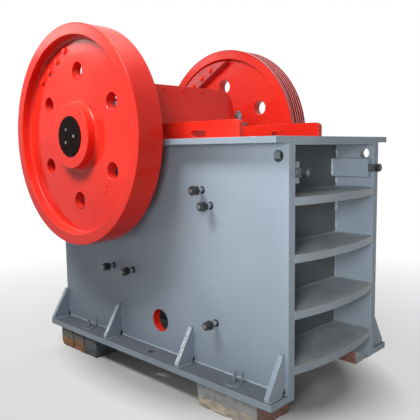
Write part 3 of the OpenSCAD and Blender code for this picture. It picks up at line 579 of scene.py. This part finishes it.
# Black: the real paint of the shaft end covers, and painted shade in the gussets' notches and round the side
# studs.
BLACK_AND_SHADE = bare_metal(
    "black_paint_and_painted_shade", (0.008, 0.004, 0.004), (0.014, 0.007, 0.007), rough=0.5, metal=0.0, shine=0.02)
DARK_STEEL = bare_metal(
    "dark_steel", (0.022, 0.026, 0.030), (0.046, 0.050, 0.055), rough=0.34, metal=0.35)
STUD_STEEL = bare_metal(
    "stud_steel", (0.26, 0.28, 0.31), (0.15, 0.16, 0.18), rough=0.36, metal=0.8)
SHAFT_STEEL = bare_metal(
    "shaft_steel", (0.30, 0.30, 0.31), (0.20, 0.19, 0.19), rough=0.28, metal=0.95)
FRONT_BLOCK = block_surface(
    "block_front_near", crust=(0.33, 0.34, 0.345), core=(0.66, 0.56, 0.45), stain=(0.30, 0.27, 0.25),
    split=0.42)
END_BLOCK = block_surface(
    "block_front_end", crust=(0.24, 0.15, 0.12), core=(0.34, 0.19, 0.15), stain=(0.18, 0.12, 0.10),
    split=0.5)
REAR_BLOCK = block_surface(
    "block_rear_near", crust=(0.20, 0.19, 0.155), core=(0.44, 0.22, 0.10), stain=(0.30, 0.15, 0.08),
    split=0.45)
BROWN_BLOCK = block_surface(
    "block_brown", crust=(0.20, 0.185, 0.17), core=(0.38, 0.19, 0.09), stain=(0.27, 0.13, 0.07),
    split=0.5)
DULL_BLOCK = block_surface(
    "block_dull", crust=(0.125, 0.14, 0.155), core=(0.12, 0.125, 0.13), stain=(0.16, 0.12, 0.10),
    split=0.3)
# The far block: its own pale colour, raised nearly to white as painted light where it stands in the
# machine's shade.
PALE_BLOCK = block_surface(
    "block_pale_painted_light", crust=(0.80, 0.84, 0.88), core=(0.74, 0.76, 0.78), stain=(0.66, 0.60, 0.58),
    split=0.3)
ROSE_BLOCK = block_surface(
    "block_rose", crust=(0.62, 0.27, 0.25), core=(0.55, 0.26, 0.24), stain=(0.45, 0.20, 0.18),
    split=0.3)


# Welded frame

def side_plate(node):
    """Side plate with red paint in its inspection hole and painted shade in the bore of its lifting hole."""
    inspection_x = FRONT_X - 1.127
    inspection_z = BASE_Z + 0.252
    inspection_r = 0.082
    lifting_x = FRONT_X - 0.073
    lifting_z = PLATE[1].z - 0.110
    lifting_r = 0.035
    slack = 0.002
    mesh = cad_mesh(node)
    round_edges(mesh, PLATE_EDGE)
    for face in mesh.faces:
        if abs(face.normal.y) > 0.5:
            continue
        middle = face.calc_center_median()
        if math.hypot(middle.x - inspection_x, middle.z - inspection_z) < inspection_r + slack:
            face.material_index = 1
        elif math.hypot(middle.x - lifting_x, middle.z - lifting_z) < lifting_r + slack:
            # The lifting hole's bore gets the dark grey of painted shade.
            face.material_index = 2
    stand_in(node, mesh, [GREY, RED, SHADED_WALL_GREY])


def base_flange(node):
    """Base flange with painted shade in the bores of its anchor holes."""
    edge_margin = 0.02
    mesh = cad_mesh(node)
    round_edges(mesh, THICK_EDGE)
    low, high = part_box(node)
    for face in mesh.faces:
        middle = face.calc_center_median()
        inside_x = low.x + edge_margin < middle.x < high.x - edge_margin
        inside_y = low.y + edge_margin < middle.y < high.y - edge_margin
        if inside_x and inside_y and abs(face.normal.z) < 0.9:
            # Bore faces get the dark grey of painted shade.
            face.material_index = 1
    stand_in(node, mesh, [BASE_GREY, SHADED_WALL_GREY])


def rubbed_gussets(node):
    """Gussets whose sloping edges are rubbed and spattered lighter, but for the foremost."""
    foremost = 0.3
    mesh = cad_mesh(node)
    round_edges(mesh, PLATE_EDGE)
    for face in mesh.faces:
        behind = face.calc_center_median().x < FRONT_X - foremost
        if behind and abs(face.normal.y) > 0.3 and face.normal.z > 0.2:
            face.material_index = 1
    stand_in(node, mesh, [GREY, RUBBED_GREY])


def frame_plates():
    """The frame's plates and castings, each in its own paint."""
    for node in both("side_plate"):
        side_plate(node)
    for node in ("rear_wall", *REAR_RIBS, *both("top_flange"), "top_flange_front"):
        dress(node, GREY)
    # The front wall, deep behind the ribs, gets painted shade.
    dress("front_wall", SHADED_WALL_GREY)
    for node in both("gussets"):
        rubbed_gussets(node)
    for node in FRONT_RIBS:
        dress(node, RIB_GREY)
    for node in both("base_flange"):
        base_flange(node)
    for node in both("bearing_housing"):
        dress(node, GREY, THICK_EDGE)
    for node in both("cheek_plate_upper") + both("cheek_plate_lower"):
        dress(node, RED)
    dress("fixed_jaw_plate", JAW_STEEL, THICK_EDGE)


def gusset_faces(name):
    """Gusset faces with room for a weld: x, the way each looks along X, its top's z."""
    least_room = 0.01
    for low, high in islands("gussets_" + name):
        for x, way in ((high.x, 1), (low.x, -1)):
            if x - REAR_X >= least_room:
                yield x, way, high.z


def beads_beside(mesh, node, start, end, wall, seed=None):
    """Beads over and under a plate where it meets a wall, between two (x, y) places."""
    low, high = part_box(node)
    for z, face in ((high.z, UP), (low.z, -UP)):
        weld(mesh, (*start, z), (*end, z), wall, face, BEAD, z if seed is None else seed)


def rib_welds(mesh, side):
    """Beads over and under the ribs along one side plate."""
    y = side * INNER_Y
    inward = Vector((0, -side, 0))
    front_end = (FRONT_X - 0.03, y)
    for level, rib in enumerate(FRONT_RIBS, 1):
        beads_beside(mesh, rib, (WALL_FRONT_X, y), front_end, inward, level)
    for level, rib in enumerate(REAR_RIBS, 1):
        rear_end = (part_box(rib)[0].x + 0.01, y)
        beads_beside(mesh, rib, rear_end, (REAR_WALL_X, y), inward, level + 7)


def frame_welds():
    """Beads at the plates' corners: base flanges, gussets, walls, ribs and clamp bars."""
    light_bead = 0.006
    flange_bead = 0.008
    wall_bead = 0.009
    gap = 0.01
    cope_gap = 0.034
    flange_end_x = FRONT_X - 0.006
    wall_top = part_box("top_flange_front")[0].z - gap
    rear_wall_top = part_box("rear_wall")[1].z - gap
    mesh = bmesh.new()
    for side, name in SIDES:
        out = Vector((0, side, 0))
        root_y = side * OUTER_Y
        wall_y = side * INNER_Y
        weld(mesh, (REAR_X + gap, root_y, FLANGE_TOP), (FRONT_X - gap, root_y, FLANGE_TOP),
             out, UP, flange_bead, side)
        for x, way, top in gusset_faces(name):
            weld(mesh, (x, root_y, FLANGE_TOP + cope_gap), (x, root_y, top - 0.004),
                 AHEAD * way, out, BEAD, x)
            weld(mesh, (x, side * (OUTER_Y + cope_gap), FLANGE_TOP),
                 (x, side * (FLANGE_Y - gap), FLANGE_TOP), AHEAD * way, UP, light_bead, x + 3)
        weld(mesh, (WALL_FRONT_X, wall_y, BASE_Z + gap), (WALL_FRONT_X, wall_y, wall_top),
             AHEAD, -out, wall_bead, 5)
        weld(mesh, (REAR_WALL_X, wall_y, BASE_Z + gap), (REAR_WALL_X, wall_y, rear_wall_top),
             -AHEAD, -out, wall_bead, 6)
        rib_welds(mesh, side)
        bar_end = (FRONT_X - 0.02, wall_y)
        beads_beside(mesh, "clamp_bar_" + name, (WALL_FRONT_X, wall_y), bar_end, -out)
        flange_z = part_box("top_flange_" + name)[0].z
        weld(mesh, (REAR_X + gap, root_y, flange_z), (flange_end_x, root_y, flange_z),
             out, -UP, light_bead, 9)
    for level, rib in enumerate(FRONT_RIBS, 1):
        beads_beside(mesh, rib, (WALL_FRONT_X, gap - INNER_Y), (WALL_FRONT_X, INNER_Y - gap),
                     AHEAD, level + 20)
    add_piece("frame_weld_beads", mesh, [WELD], "frame", WELD_SHARP)


def lumpy_welds():
    """Thicker, spattered beads at the clamp bars' rear ends and in the corners of the bays."""
    bead = 0.012
    bare_share = 0.55
    ribs = sorted((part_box(rib) for rib in FRONT_RIBS), key=lambda pair: pair[0].z)
    flange_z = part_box("top_flange_front")[0].z
    mesh = bmesh.new()
    for side, name in SIDES:
        inward = Vector((0, -side, 0))
        wall_y = side * INNER_Y
        low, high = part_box("clamp_bar_" + name)
        bar_y = low.y if side > 0 else high.y
        weld(mesh, (WALL_FRONT_X, bar_y, low.z + 0.003), (WALL_FRONT_X, bar_y, high.z - 0.003),
             AHEAD, inward, bead, 2)
        for lower, upper in zip(ribs, ribs[1:]):
            floor_z = lower[1].z
            roof_z = upper[0].z
            start_z = floor_z + (roof_z - floor_z) * bare_share
            weld(mesh, (WALL_FRONT_X, wall_y, start_z), (WALL_FRONT_X, wall_y, roof_z - bead),
                 AHEAD, inward, bead, roof_z * 5)
        for start_z, stop_z in ((high.z + 0.02, high.z + 0.06), (low.z - 0.05, low.z - 0.01)):
            weld(mesh, (WALL_FRONT_X, wall_y, start_z), (WALL_FRONT_X, wall_y, min(stop_z, flange_z)),
                 AHEAD, inward, bead, stop_z)
    add_piece("lumpy_weld_beads", mesh, [RUBBED_GREY], "frame", WELD_SHARP)


def painted_shade_copes():
    """Black sheets as painted shade for notches at the gussets' inner lower corners, where the long weld
    runs through.
    """
    cope_w = 0.013
    cope_h = 0.030
    clear = 0.009
    proud = 0.0006
    arc_steps = 8
    angles = [math.pi / 2 * k / arc_steps for k in range(arc_steps + 1)]
    outline = [(0.0, 0.0)] + [(cope_w * math.cos(a), cope_h * math.sin(a)) for a in angles]
    mesh = bmesh.new()
    for side, name in SIDES:
        for x, way, _ in gusset_faces(name):
            rings = []
            for stand in (0.0, proud):
                spots = [(x + way * stand, side * (OUTER_Y + clear + width), FLANGE_TOP + clear + height)
                         for width, height in outline]
                rings.append([mesh.verts.new(spot) for spot in spots])
            skin(mesh, rings)
            mesh.faces.new(rings[-1])
    bmesh.ops.recalc_face_normals(mesh, faces=mesh.faces)
    # Thin black sheets standing for the shade in the notches.
    add_piece("painted_shade_copes", mesh, [BLACK_AND_SHADE], "frame")


def clamp_bars():
    """Bars beside the front wall, each with a washer, a painted nut, a bare nut and its bolt."""
    bar_end = FRONT_X - 0.014
    bolt_r = 0.015
    bore_r = 0.014
    nut_r = 0.028
    nut_t = 0.027
    nut_gap = 0.003
    washer_t = 0.020
    for node in both("clamp_bar"):
        low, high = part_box(node)
        end = Vector((bar_end, high.y, high.z))
        middle = (low + end) / 2
        bar = bmesh.new()
        put_box(bar, middle, end - low)
        round_edges(bar, THICK_EDGE)
        stand_in(node, bar, [GREY], node + "_bar")
        seat = Vector((bar_end, middle.y, middle.z))
        nut = bmesh.new()
        washer(nut, seat, AHEAD, nut_r, bore_r, washer_t)
        hex_nut(nut, seat + AHEAD * washer_t, AHEAD, nut_r, nut_t, 0.3, bore_r)
        add_piece(node + "_painted_nut", nut, [BOLT_GREY], "frame")
        nut = bmesh.new()
        hex_nut(nut, seat + AHEAD * (washer_t + nut_t + nut_gap), AHEAD, nut_r, nut_t, 0.5, bore_r)
        add_piece(node + "_bare_nut", nut, [DARK_STEEL], "frame")
        bolt = bmesh.new()
        threaded_bar(bolt, seat, AHEAD, bolt_r, high.x - bar_end, pitch=0.003, depth=0.0016)
        add_piece(node + "_bolt", bolt, [BOLT_GREY], "frame")


def side_bolts():
    """Studs through the side plates with two nuts run out near each end, and black discs of painted shade
    round them at the plate.
    """
    bolt_r = 0.018
    bore_r = bolt_r - 0.001
    nut_r = 0.031
    nut_t = 0.022
    nut_stand = 0.050
    nut_pitch = 0.027
    tip_r = bolt_r * 0.72
    tip_t = 0.001
    hole_r = bolt_r + 0.007
    hole_t = 0.0015
    sleeve_r = bolt_r + 0.0008
    sleeve_bore_r = bolt_r - 0.003
    sleeve_start = 0.020
    sleeve_t = nut_stand - sleeve_start - 0.001
    for side, name in SIDES:
        node = "side_bolts_" + name
        out = Vector((0, side, 0))
        nuts, bars, sleeves, tips, holes = [bmesh.new() for _ in range(5)]
        for index, (low, high) in enumerate(islands(node)):
            middle = (low + high) / 2
            reach = high.y - low.y
            start = Vector((middle.x, side * OUTER_Y, middle.z))
            threaded_bar(bars, start, out, bolt_r, reach - tip_t, pitch=0.0035, depth=0.0018)
            washer(sleeves, start + out * sleeve_start, out, sleeve_r, sleeve_bore_r, sleeve_t)
            revolve(tips, [(tip_r, 0.0), (tip_r, tip_t), (0, tip_t)], start + out * (reach - tip_t), out, 24)
            for k in range(2):
                hex_nut(nuts, start + out * (nut_stand + k * nut_pitch), out, nut_r, nut_t,
                        0.35 + index * 0.5 + k * 0.4, bore_r)
            # A black disc round each stud where it meets the plate: painted shade in its clearance bore.
            washer(holes, start, out, hole_r, bore_r, hole_t)
        stand_in(node, nuts, [DARK_STEEL], node + "_nuts")
        add_piece(node + "_bars", bars, [DARK_STEEL], "frame")
        add_piece(node + "_painted_threads", sleeves, [GREY], "frame")
        add_piece(node + "_tips", tips, [STUD_STEEL], "frame")
        add_piece(node + "_hole_shade", holes, [BLACK_AND_SHADE], "frame")


def anchor_studs():
    """Thick washers with standing studs at the front and rear anchor holes, and small pegs."""
    hole_xs = (FRONT_X - 0.345, REAR_X + 0.445)
    hole_y = FLANGE_Y - 0.082
    peg_shift = 0.018
    peg_y = OUTER_Y + 0.030
    peg = [(0.008, 0.0), (0.008, 0.060), (0.006, 0.062), (0, 0.062)]
    washer_r = 0.056
    washer_t = 0.010
    stud_r = 0.009
    stud_h = 0.078
    mesh = bmesh.new()
    for side in (-1, 1):
        for x in hole_xs:
            hole = (x, side * hole_y, FLANGE_TOP)
            washer(mesh, hole, UP, washer_r, stud_r, washer_t)
            threaded_bar(mesh, hole, UP, stud_r, stud_h, pitch=0.0025, depth=0.0012)
            revolve(mesh, peg, (x + peg_shift, side * peg_y, FLANGE_TOP), UP, 16)
    add_piece("anchor_studs", mesh, [BASE_GREY], "frame")


def housing_lock_nuts():
    """Lock nuts on the bearing housings' studs, just above the nuts of the solids."""
    stud_reach = 0.326
    stud_y = INNER_Y + 0.085
    seat_z = AXIS_Z + 0.159
    nut_r = 0.035
    nut_t = 0.034
    bore_r = 0.020
    mesh = bmesh.new()
    for side in (-1, 1):
        for end in (-1, 1):
            place = (AXIS_X + end * stud_reach, side * stud_y, seat_z)
            hex_nut(mesh, place, UP, nut_r, nut_t, 0.3, bore_r)
    add_piece("bearing_lock_nuts", mesh, [RUBBED_GREY], "frame")


# Rotor

def around_axis(radius, angle, y):
    """A point at a radius and an angle in degrees about the shaft's axis."""
    turn = math.radians(angle)
    return Vector((AXIS_X + radius * math.cos(turn), y, AXIS_Z + radius * math.sin(turn)))


def grooved_sheave():
    """Drive sheave with painted shade in its belt grooves and a painted highlight on the narrow ridges
    between them.
    """
    rim_r = (WHEEL[1].z - WHEEL[0].z) / 2
    groove_depth = 0.021
    slack = 0.002
    ridge_w = 0.015
    mesh = cad_mesh("drive_sheave")
    for face in mesh.faces:
        middle = face.calc_center_median()
        radial = Vector((middle.x - AXIS_X, 0, middle.z - AXIS_Z))
        if radial.length < rim_r - groove_depth:
            continue
        facing = abs(face.normal.dot(radial.normalized()))
        wide = max(v.co.y for v in face.verts) - min(v.co.y for v in face.verts)
        # Ridge tops take the painted highlight; groove flanks and floors take painted shade.
        if radial.length > rim_r - slack and facing > 0.9 and wide < ridge_w:
            face.material_index = 2
        elif abs(face.normal.y) < 0.99 and radial.length < rim_r - slack:
            face.material_index = 1
    stand_in("drive_sheave", mesh, [RED, GROOVE_SHADE_RED, RIDGE_HIGHLIGHT_RED], sharp=WHEEL_SHARP)


def wheels():
    """Both wheels with their counterweights, and the shaft."""
    dress("flywheel", RED, 0.0, sharp=WHEEL_SHARP)
    grooved_sheave()
    for node in both("counterweight"):
        dress(node, CAST_RED, CAST_EDGE, steps=3)
    dress("eccentric_shaft", SHAFT_STEEL)


def weight_bolt_spots(y):
    """Places of the four bolts through a counterweight, each with its distance along their line."""
    line_r = 0.600
    line_angle = 120
    turn = math.radians(line_angle)
    sideways = Vector((-math.sin(turn), 0, math.cos(turn)))
    middle = around_axis(line_r, line_angle, y)
    return [(offset, middle + sideways * offset) for offset in (-0.187, -0.062, 0.062, 0.187)]


def weight_bolts():
    """Bolt heads on the webs that hold the counterweights, with two small plugs beside them."""
    web_y = RIM_Y - 0.073
    washer_r = 0.025
    washer_bore_r = 0.010
    washer_t = 0.003
    head_r = 0.020
    head_t = 0.013
    plug = [(0.014, 0), (0.012, 0.004), (0, 0.005)]
    for side, name in SIDES:
        mesh = bmesh.new()
        out = Vector((0, side, 0))
        for offset, spot in weight_bolt_spots(side * web_y):
            washer(mesh, spot, out, washer_r, washer_bore_r, washer_t)
            hex_nut(mesh, spot + out * washer_t, out, head_r, head_t, offset * 9)
        for radius, angle in ((0.462, -47), (0.492, -52)):
            revolve(mesh, plug, around_axis(radius, angle, side * web_y), out, 20)
        add_piece("weight_bolts_" + name, mesh, [RED], "rotor")


def inner_weight_bolts():
    """Bolt heads on the counterweights' inner faces."""
    head_r = 0.024
    head_t = 0.015
    for side, name in SIDES:
        low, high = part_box("counterweight_" + name)
        face_y = low.y if side > 0 else high.y
        mesh = bmesh.new()
        for offset, spot in weight_bolt_spots(face_y):
            hex_nut(mesh, spot, (0, -side, 0), head_r, head_t, offset * 7)
        add_piece("weight_bolt_ends_" + name, mesh, [RED], "rotor")


def end_caps():
    """Thin black covers over the shaft ends, each with three bolt heads."""
    cover_r = 0.143
    cover_t = 0.006
    ease = 0.002
    circle_r = 0.060
    head_r = 0.012
    head_t = 0.004
    profile = [(cover_r, 0.0), (cover_r, cover_t - ease), (cover_r - ease, cover_t), (0, cover_t)]
    covers = bmesh.new()
    heads = bmesh.new()
    for side in (-1, 1):
        out = Vector((0, side, 0))
        revolve(covers, profile, (AXIS_X, side * RIM_Y, AXIS_Z), out, 96)
        for angle in (125, 0, -135):
            spot = around_axis(circle_r, angle, side * (RIM_Y + cover_t))
            # A head's own turn is arbitrary, so the number of its place's angle serves.
            hex_nut(heads, spot, out, head_r, head_t, angle)
    stand_in("shaft_end_caps", covers, [BLACK_AND_SHADE], "shaft_end_covers")
    add_piece("cover_bolts", heads, [STUD_STEEL], "rotor")


# Jaw and its linkage

def jaw_and_toggle():
    """The moving jaw with its plates, and the parts that hold its foot."""
    dress("moving_jaw", RED, CAST_EDGE)
    dress("moving_jaw_plate", JAW_STEEL, THICK_EDGE)
    dress("jaw_guard_plate", RED)
    dress("toggle_plate", JAW_STEEL)
    dress("toggle_seat_block", RED, 0.005)
    dress("tension_rod", DARK_STEEL, 0.002)


def guard_bolts():
    """Small bolts under the guard plate's upper edge."""
    lean = math.radians(16)
    thickness = 0.026
    drop = 0.034
    first_y = -0.318
    pitch = 0.190
    head_r = 0.011
    head_t = 0.008
    low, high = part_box("jaw_guard_plate")
    foot_z = low.z + thickness * math.sin(lean)
    top_x = high.x - (high.z - foot_z) * math.tan(lean)
    out = Vector((math.cos(lean), 0, math.sin(lean)))
    down = Vector((math.sin(lean), 0, -math.cos(lean)))
    mesh = bmesh.new()
    for k in range(4):
        spot = Vector((top_x, first_y + pitch * k, high.z)) + down * drop
        hex_nut(mesh, spot, out, head_r, head_t)
    add_piece("guard_bolts", mesh, [RED], "jaw")


def adjusting_plates():
    """Stack of loose adjusting plates behind the toggle's seat."""
    count = 5
    slit = 0.0008
    margin = 0.010
    slip = 0.004
    low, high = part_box("adjusting_shims")
    pitch = (high.x - low.x) / count
    size = Vector((pitch - slit, high.y - low.y - margin, high.z - low.z - margin))
    mesh = bmesh.new()
    for k in range(count):
        shift = slip * math.sin(k * 2.1)
        middle = Vector((low.x + pitch * (k + 0.5), shift, (low.z + high.z) / 2 + shift * 0.6))
        put_box(mesh, middle, size)
    round_edges(mesh, 0.0015, 1)
    stand_in("adjusting_shims", mesh, [DARK_STEEL], "adjusting_plates")


def coil_spring():
    """Coil spring on the tension rod between two end plates."""
    end_t = 0.016
    ease = 0.002
    bore_r = 0.033
    bar_r = 0.012
    coil_r = 0.054
    turns = 6
    turn_steps = 40
    low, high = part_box("tension_spring")
    middle = (low + high) / 2
    outer_r = (high.z - low.z) / 2
    profile = [(bore_r, 0.0), (outer_r - ease, 0.0), (outer_r, ease), (outer_r, end_t - ease),
               (outer_r - ease, end_t), (bore_r, end_t), (bore_r, 0.0)]
    mesh = bmesh.new()
    for x, way in ((low.x, 1), (high.x, -1)):
        revolve(mesh, profile, (x, middle.y, middle.z), AHEAD * way, 48)
    start = low.x + end_t + bar_r
    length = high.x - low.x - 2 * (end_t + bar_r)
    points = []
    for k in range(turns * turn_steps + 1):
        share = k / (turns * turn_steps)
        angle = 2 * math.pi * turns * share
        points.append(Vector((start + length * share, middle.y + coil_r * math.cos(angle),
                              middle.z + coil_r * math.sin(angle))))
    sweep(mesh, points, bar_r, 14)
    stand_in("tension_spring", mesh, [DARK_STEEL], "coil_spring")


# Blocks

def rough_box(low, high, depth, seed):
    """A box with worn corners and a broken, uneven skin, all inside its own corners."""
    cuts = 26
    flatten = 0.15
    mesh = bmesh.new()
    middle = (low + high) / 2
    put_box(mesh, middle, high - low)
    bmesh.ops.subdivide_edges(mesh, edges=mesh.edges, cuts=cuts, use_grid_fill=True)
    mesh.normal_update()
    shift = Vector((seed, seed * 0.7, 0))
    moves = []
    for vert in mesh.verts:
        sides = {tuple(round(c) for c in face.normal) for face in vert.link_faces}
        swell = noise.fractal(vert.co * 7.0 + shift, 0.9, 2.1, 5) * 0.5 + 0.5
        chips = max(0.0, noise.noise(vert.co * 16.0 + shift * 2) - 0.1)
        lower = 1.0 - (vert.co.z - low.z) / (high.z - low.z)
        push = depth * (0.25 * swell + 0.8 * chips)
        push += depth * 0.6 * max(0.0, lower - 0.45) * swell
        if len(sides) > 1 and lower > 0.05:
            push += depth * 0.35 * swell
        inward = middle - vert.co
        inward.z *= flatten
        moves.append((vert, inward.normalized() * push))
    for vert, move in moves:
        vert.co += move
    mesh.normal_update()
    return mesh


def rough_block(node, depth, seed, parts, near_material=None):
    """A packed block as rough pieces in a row; parts are (share of the length, material)."""
    gap = 0.010
    low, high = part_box(node)
    start = low.x
    for k, (share, material) in enumerate(parts):
        stop = low.x + (high.x - low.x) * share
        end = stop if share == 1.0 else stop - gap
        mesh = rough_box(Vector((start, low.y, low.z)), Vector((end, high.y, high.z)),
                         depth, seed + k * 2.3)
        for face in mesh.faces:
            if near_material and face.normal.y < -0.7:
                face.material_index = 1
        piece = add_piece(f"{node}_rough_{k + 1}", mesh, [material, near_material or material],
                          "frame", BLOCK_SHARP)
        if k == 0:
            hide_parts(node)
        start = stop


def blocks():
    """The four blocks under the machine's corners."""
    rough_block("support_block_1", 0.020, 3.1, ((1.0, END_BLOCK),), FRONT_BLOCK)
    rough_block("support_block_2", 0.020, 9.4,
                ((0.37, REAR_BLOCK), (0.69, BROWN_BLOCK), (1.0, DULL_BLOCK)))
    rough_block("support_block_3", 0.012, 5.5, ((1.0, PALE_BLOCK),), ROSE_BLOCK)
    rough_block("support_block_4", 0.020, 1.7, ((0.5, DULL_BLOCK), (1.0, REAR_BLOCK)))


# Stage

def seen_by(tree, *rays):
    """One for rays of the given kinds and nought for all others."""
    path = tree.nodes.new("ShaderNodeLightPath")
    seen = path.outputs[rays[0]]
    for ray in rays[1:]:
        seen = combine(tree, "MAXIMUM", seen, path.outputs[ray])
    return seen


def mix_to_output(tree, share, first, second, output):
    """Mixes two shaders by a share and gives the mix to the tree's output."""
    mix = add_node(tree, "ShaderNodeMixShader", {"Fac": share, 1: first, 2: second})
    feed(tree, tree.nodes[output], {"Surface": mix.outputs["Shader"]})


def distance_out(tree, reach):
    """Distance from the origin, counted along each axis in units of its reach."""
    scales = [1.0 / length for length in reach]
    scaled = add_node(tree, "ShaderNodeVectorMath", {0: place_input(tree), 1: scales})
    scaled.operation = "MULTIPLY"
    distance = add_node(tree, "ShaderNodeVectorMath", {0: scaled.outputs["Vector"]})
    distance.operation = "LENGTH"
    return distance.outputs["Value"]


def floor_surface():
    """Pale floor that fades to white, partly beside the machine and wholly far off."""
    material, tree, shader = new_material("floor")
    speckle = spread(tree, noise_value(tree, 3.0, 3.0, 0.5), 0.3, 0.7)
    feed(tree, shader, {
        "Base Color": blend_colour(tree, speckle, (0.50, 0.50, 0.495), (0.47, 0.47, 0.465)),
        "Roughness": 0.85})
    white = add_node(tree, "ShaderNodeEmission", {"Color": WHITE, "Strength": 1.0})
    beside = spread(tree, distance_out(tree, (1.15, 0.72, 1.0)), 1.0, 1.4, 0.0, 0.55)
    far_off = spread(tree, distance_out(tree, (1.0, 1.0, 1.0)), 1.6, 4.6, 0.0, 0.45)
    seen = seen_by(tree, "Is Camera Ray", "Is Glossy Ray")
    share = combine(tree, "MULTIPLY", seen, combine(tree, "ADD", beside, far_off))
    mix_to_output(tree, share, shader.outputs["BSDF"], white.outputs["Emission"], "Material Output")
    return material


def stage():
    """The floor, just below the blocks."""
    mesh = bmesh.new()
    bmesh.ops.create_grid(mesh, x_segments=1, y_segments=1, size=30.0)
    data = bpy.data.meshes.new("floor")
    mesh.to_mesh(data)
    mesh.free()
    data.materials.append(floor_surface())
    floor = bpy.data.objects.new("floor", data)
    floor.location = (0, 0, -0.001)
    bpy.context.scene.collection.objects.link(floor)


def area_light(name, place, target, size, power, colour=(1.0, 1.0, 1.0), beam=180.0):
    """A rectangular, unseen lamp that looks from a place to a target."""
    data = bpy.data.lights.new(name, "AREA")
    data.shape = "RECTANGLE"
    data.size, data.size_y = size
    data.energy = power
    data.color = colour
    data.spread = math.radians(beam)
    light = bpy.data.objects.new(name, data)
    light.location = place
    aim = Vector(target) - Vector(place)
    light.rotation_euler = aim.to_track_quat("-Z", "Y").to_euler()
    light.visible_camera = False
    bpy.context.scene.collection.objects.link(light)


def lights():
    """Soft lamps before the front corner, over the wheel, above and behind, and a little fill."""
    area_light("front", place=(FRONT_X + 1.35, -3.1, 1.7), target=(FRONT_X - 0.05, 0.1, 1.1),
               size=(0.9, 1.2), power=14.2, colour=(1.0, 0.99, 0.97), beam=62)
    area_light("wheel", place=(FRONT_X - 1.3, -2.4, 3.8), target=(FRONT_X - 1.6, -0.9, 2.1),
               size=(2.0, 0.9), power=46, beam=100)
    area_light("rear_window", place=(REAR_X - 3.4, -3.0, 3.4), target=(AXIS_X, 0.0, AXIS_Z + 0.6),
               size=(1.6, 0.6), power=15)
    area_light("floor_front", place=(FRONT_X + 2.4, -0.4, 0.5), target=(FRONT_X - 0.2, 0.3, 0.2),
               size=(1.2, 0.5), power=4)
    area_light("top", place=(FRONT_X - 0.6, 0.0, 5.2), target=(FRONT_X - 0.6, 0.0, 0.0),
               size=(4.0, 3.0), power=48)
    area_light("back", place=(REAR_X - 1.6, 2.9, 2.2), target=(REAR_X + 0.7, 0.3, 0.9),
               size=(2.0, 1.6), power=80)


def studio():
    """A faint bluish sky that the camera and mirror images see as plain white."""
    world = bpy.data.worlds.new("studio")
    world.use_nodes = True
    tree = world.node_tree
    sky = tree.nodes["Background"]
    feed(tree, sky, {"Color": (0.93, 0.96, 1.0, 1.0), "Strength": 0.06})
    white = add_node(tree, "ShaderNodeBackground", {"Color": WHITE, "Strength": 1.0})
    seen = seen_by(tree, "Is Camera Ray", "Is Glossy Ray", "Is Transmission Ray")
    mix_to_output(tree, seen, sky.outputs["Background"], white.outputs["Background"], "World Output")
    bpy.context.scene.world = world
    bpy.context.scene.view_settings.view_transform = "Standard"


def camera():
    """Camera at the photograph's view: front left, at eye height."""
    data = bpy.data.cameras.new("camera")
    data.sensor_width = 36.0
    data.lens = 46.64
    data.shift_x = -0.0008
    data.shift_y = -0.0030
    right = Vector((0.71784, 0.69608, -0.01311))
    up = Vector((-0.06774, 0.08858, 0.99376))
    back = Vector((0.6929, -0.71248, 0.11074))
    eye = Vector((FRONT_X + 1.7893, -2.9856, BASE_Z + 1.4781))
    view = bpy.data.objects.new("camera", data)
    turn = Matrix((right, up, back)).transposed().to_4x4()
    view.matrix_world = Matrix.Translation(eye) @ turn
    bpy.context.scene.collection.objects.link(view)
    bpy.context.scene.camera = view


camera()
lights()
studio()
stage()
frame_plates()
frame_welds()
lumpy_welds()
painted_shade_copes()
clamp_bars()
side_bolts()
anchor_studs()
housing_lock_nuts()
wheels()
weight_bolts()
inner_weight_bolts()
end_caps()
jaw_and_toggle()
guard_bolts()
adjusting_plates()
coil_spring()
blocks()
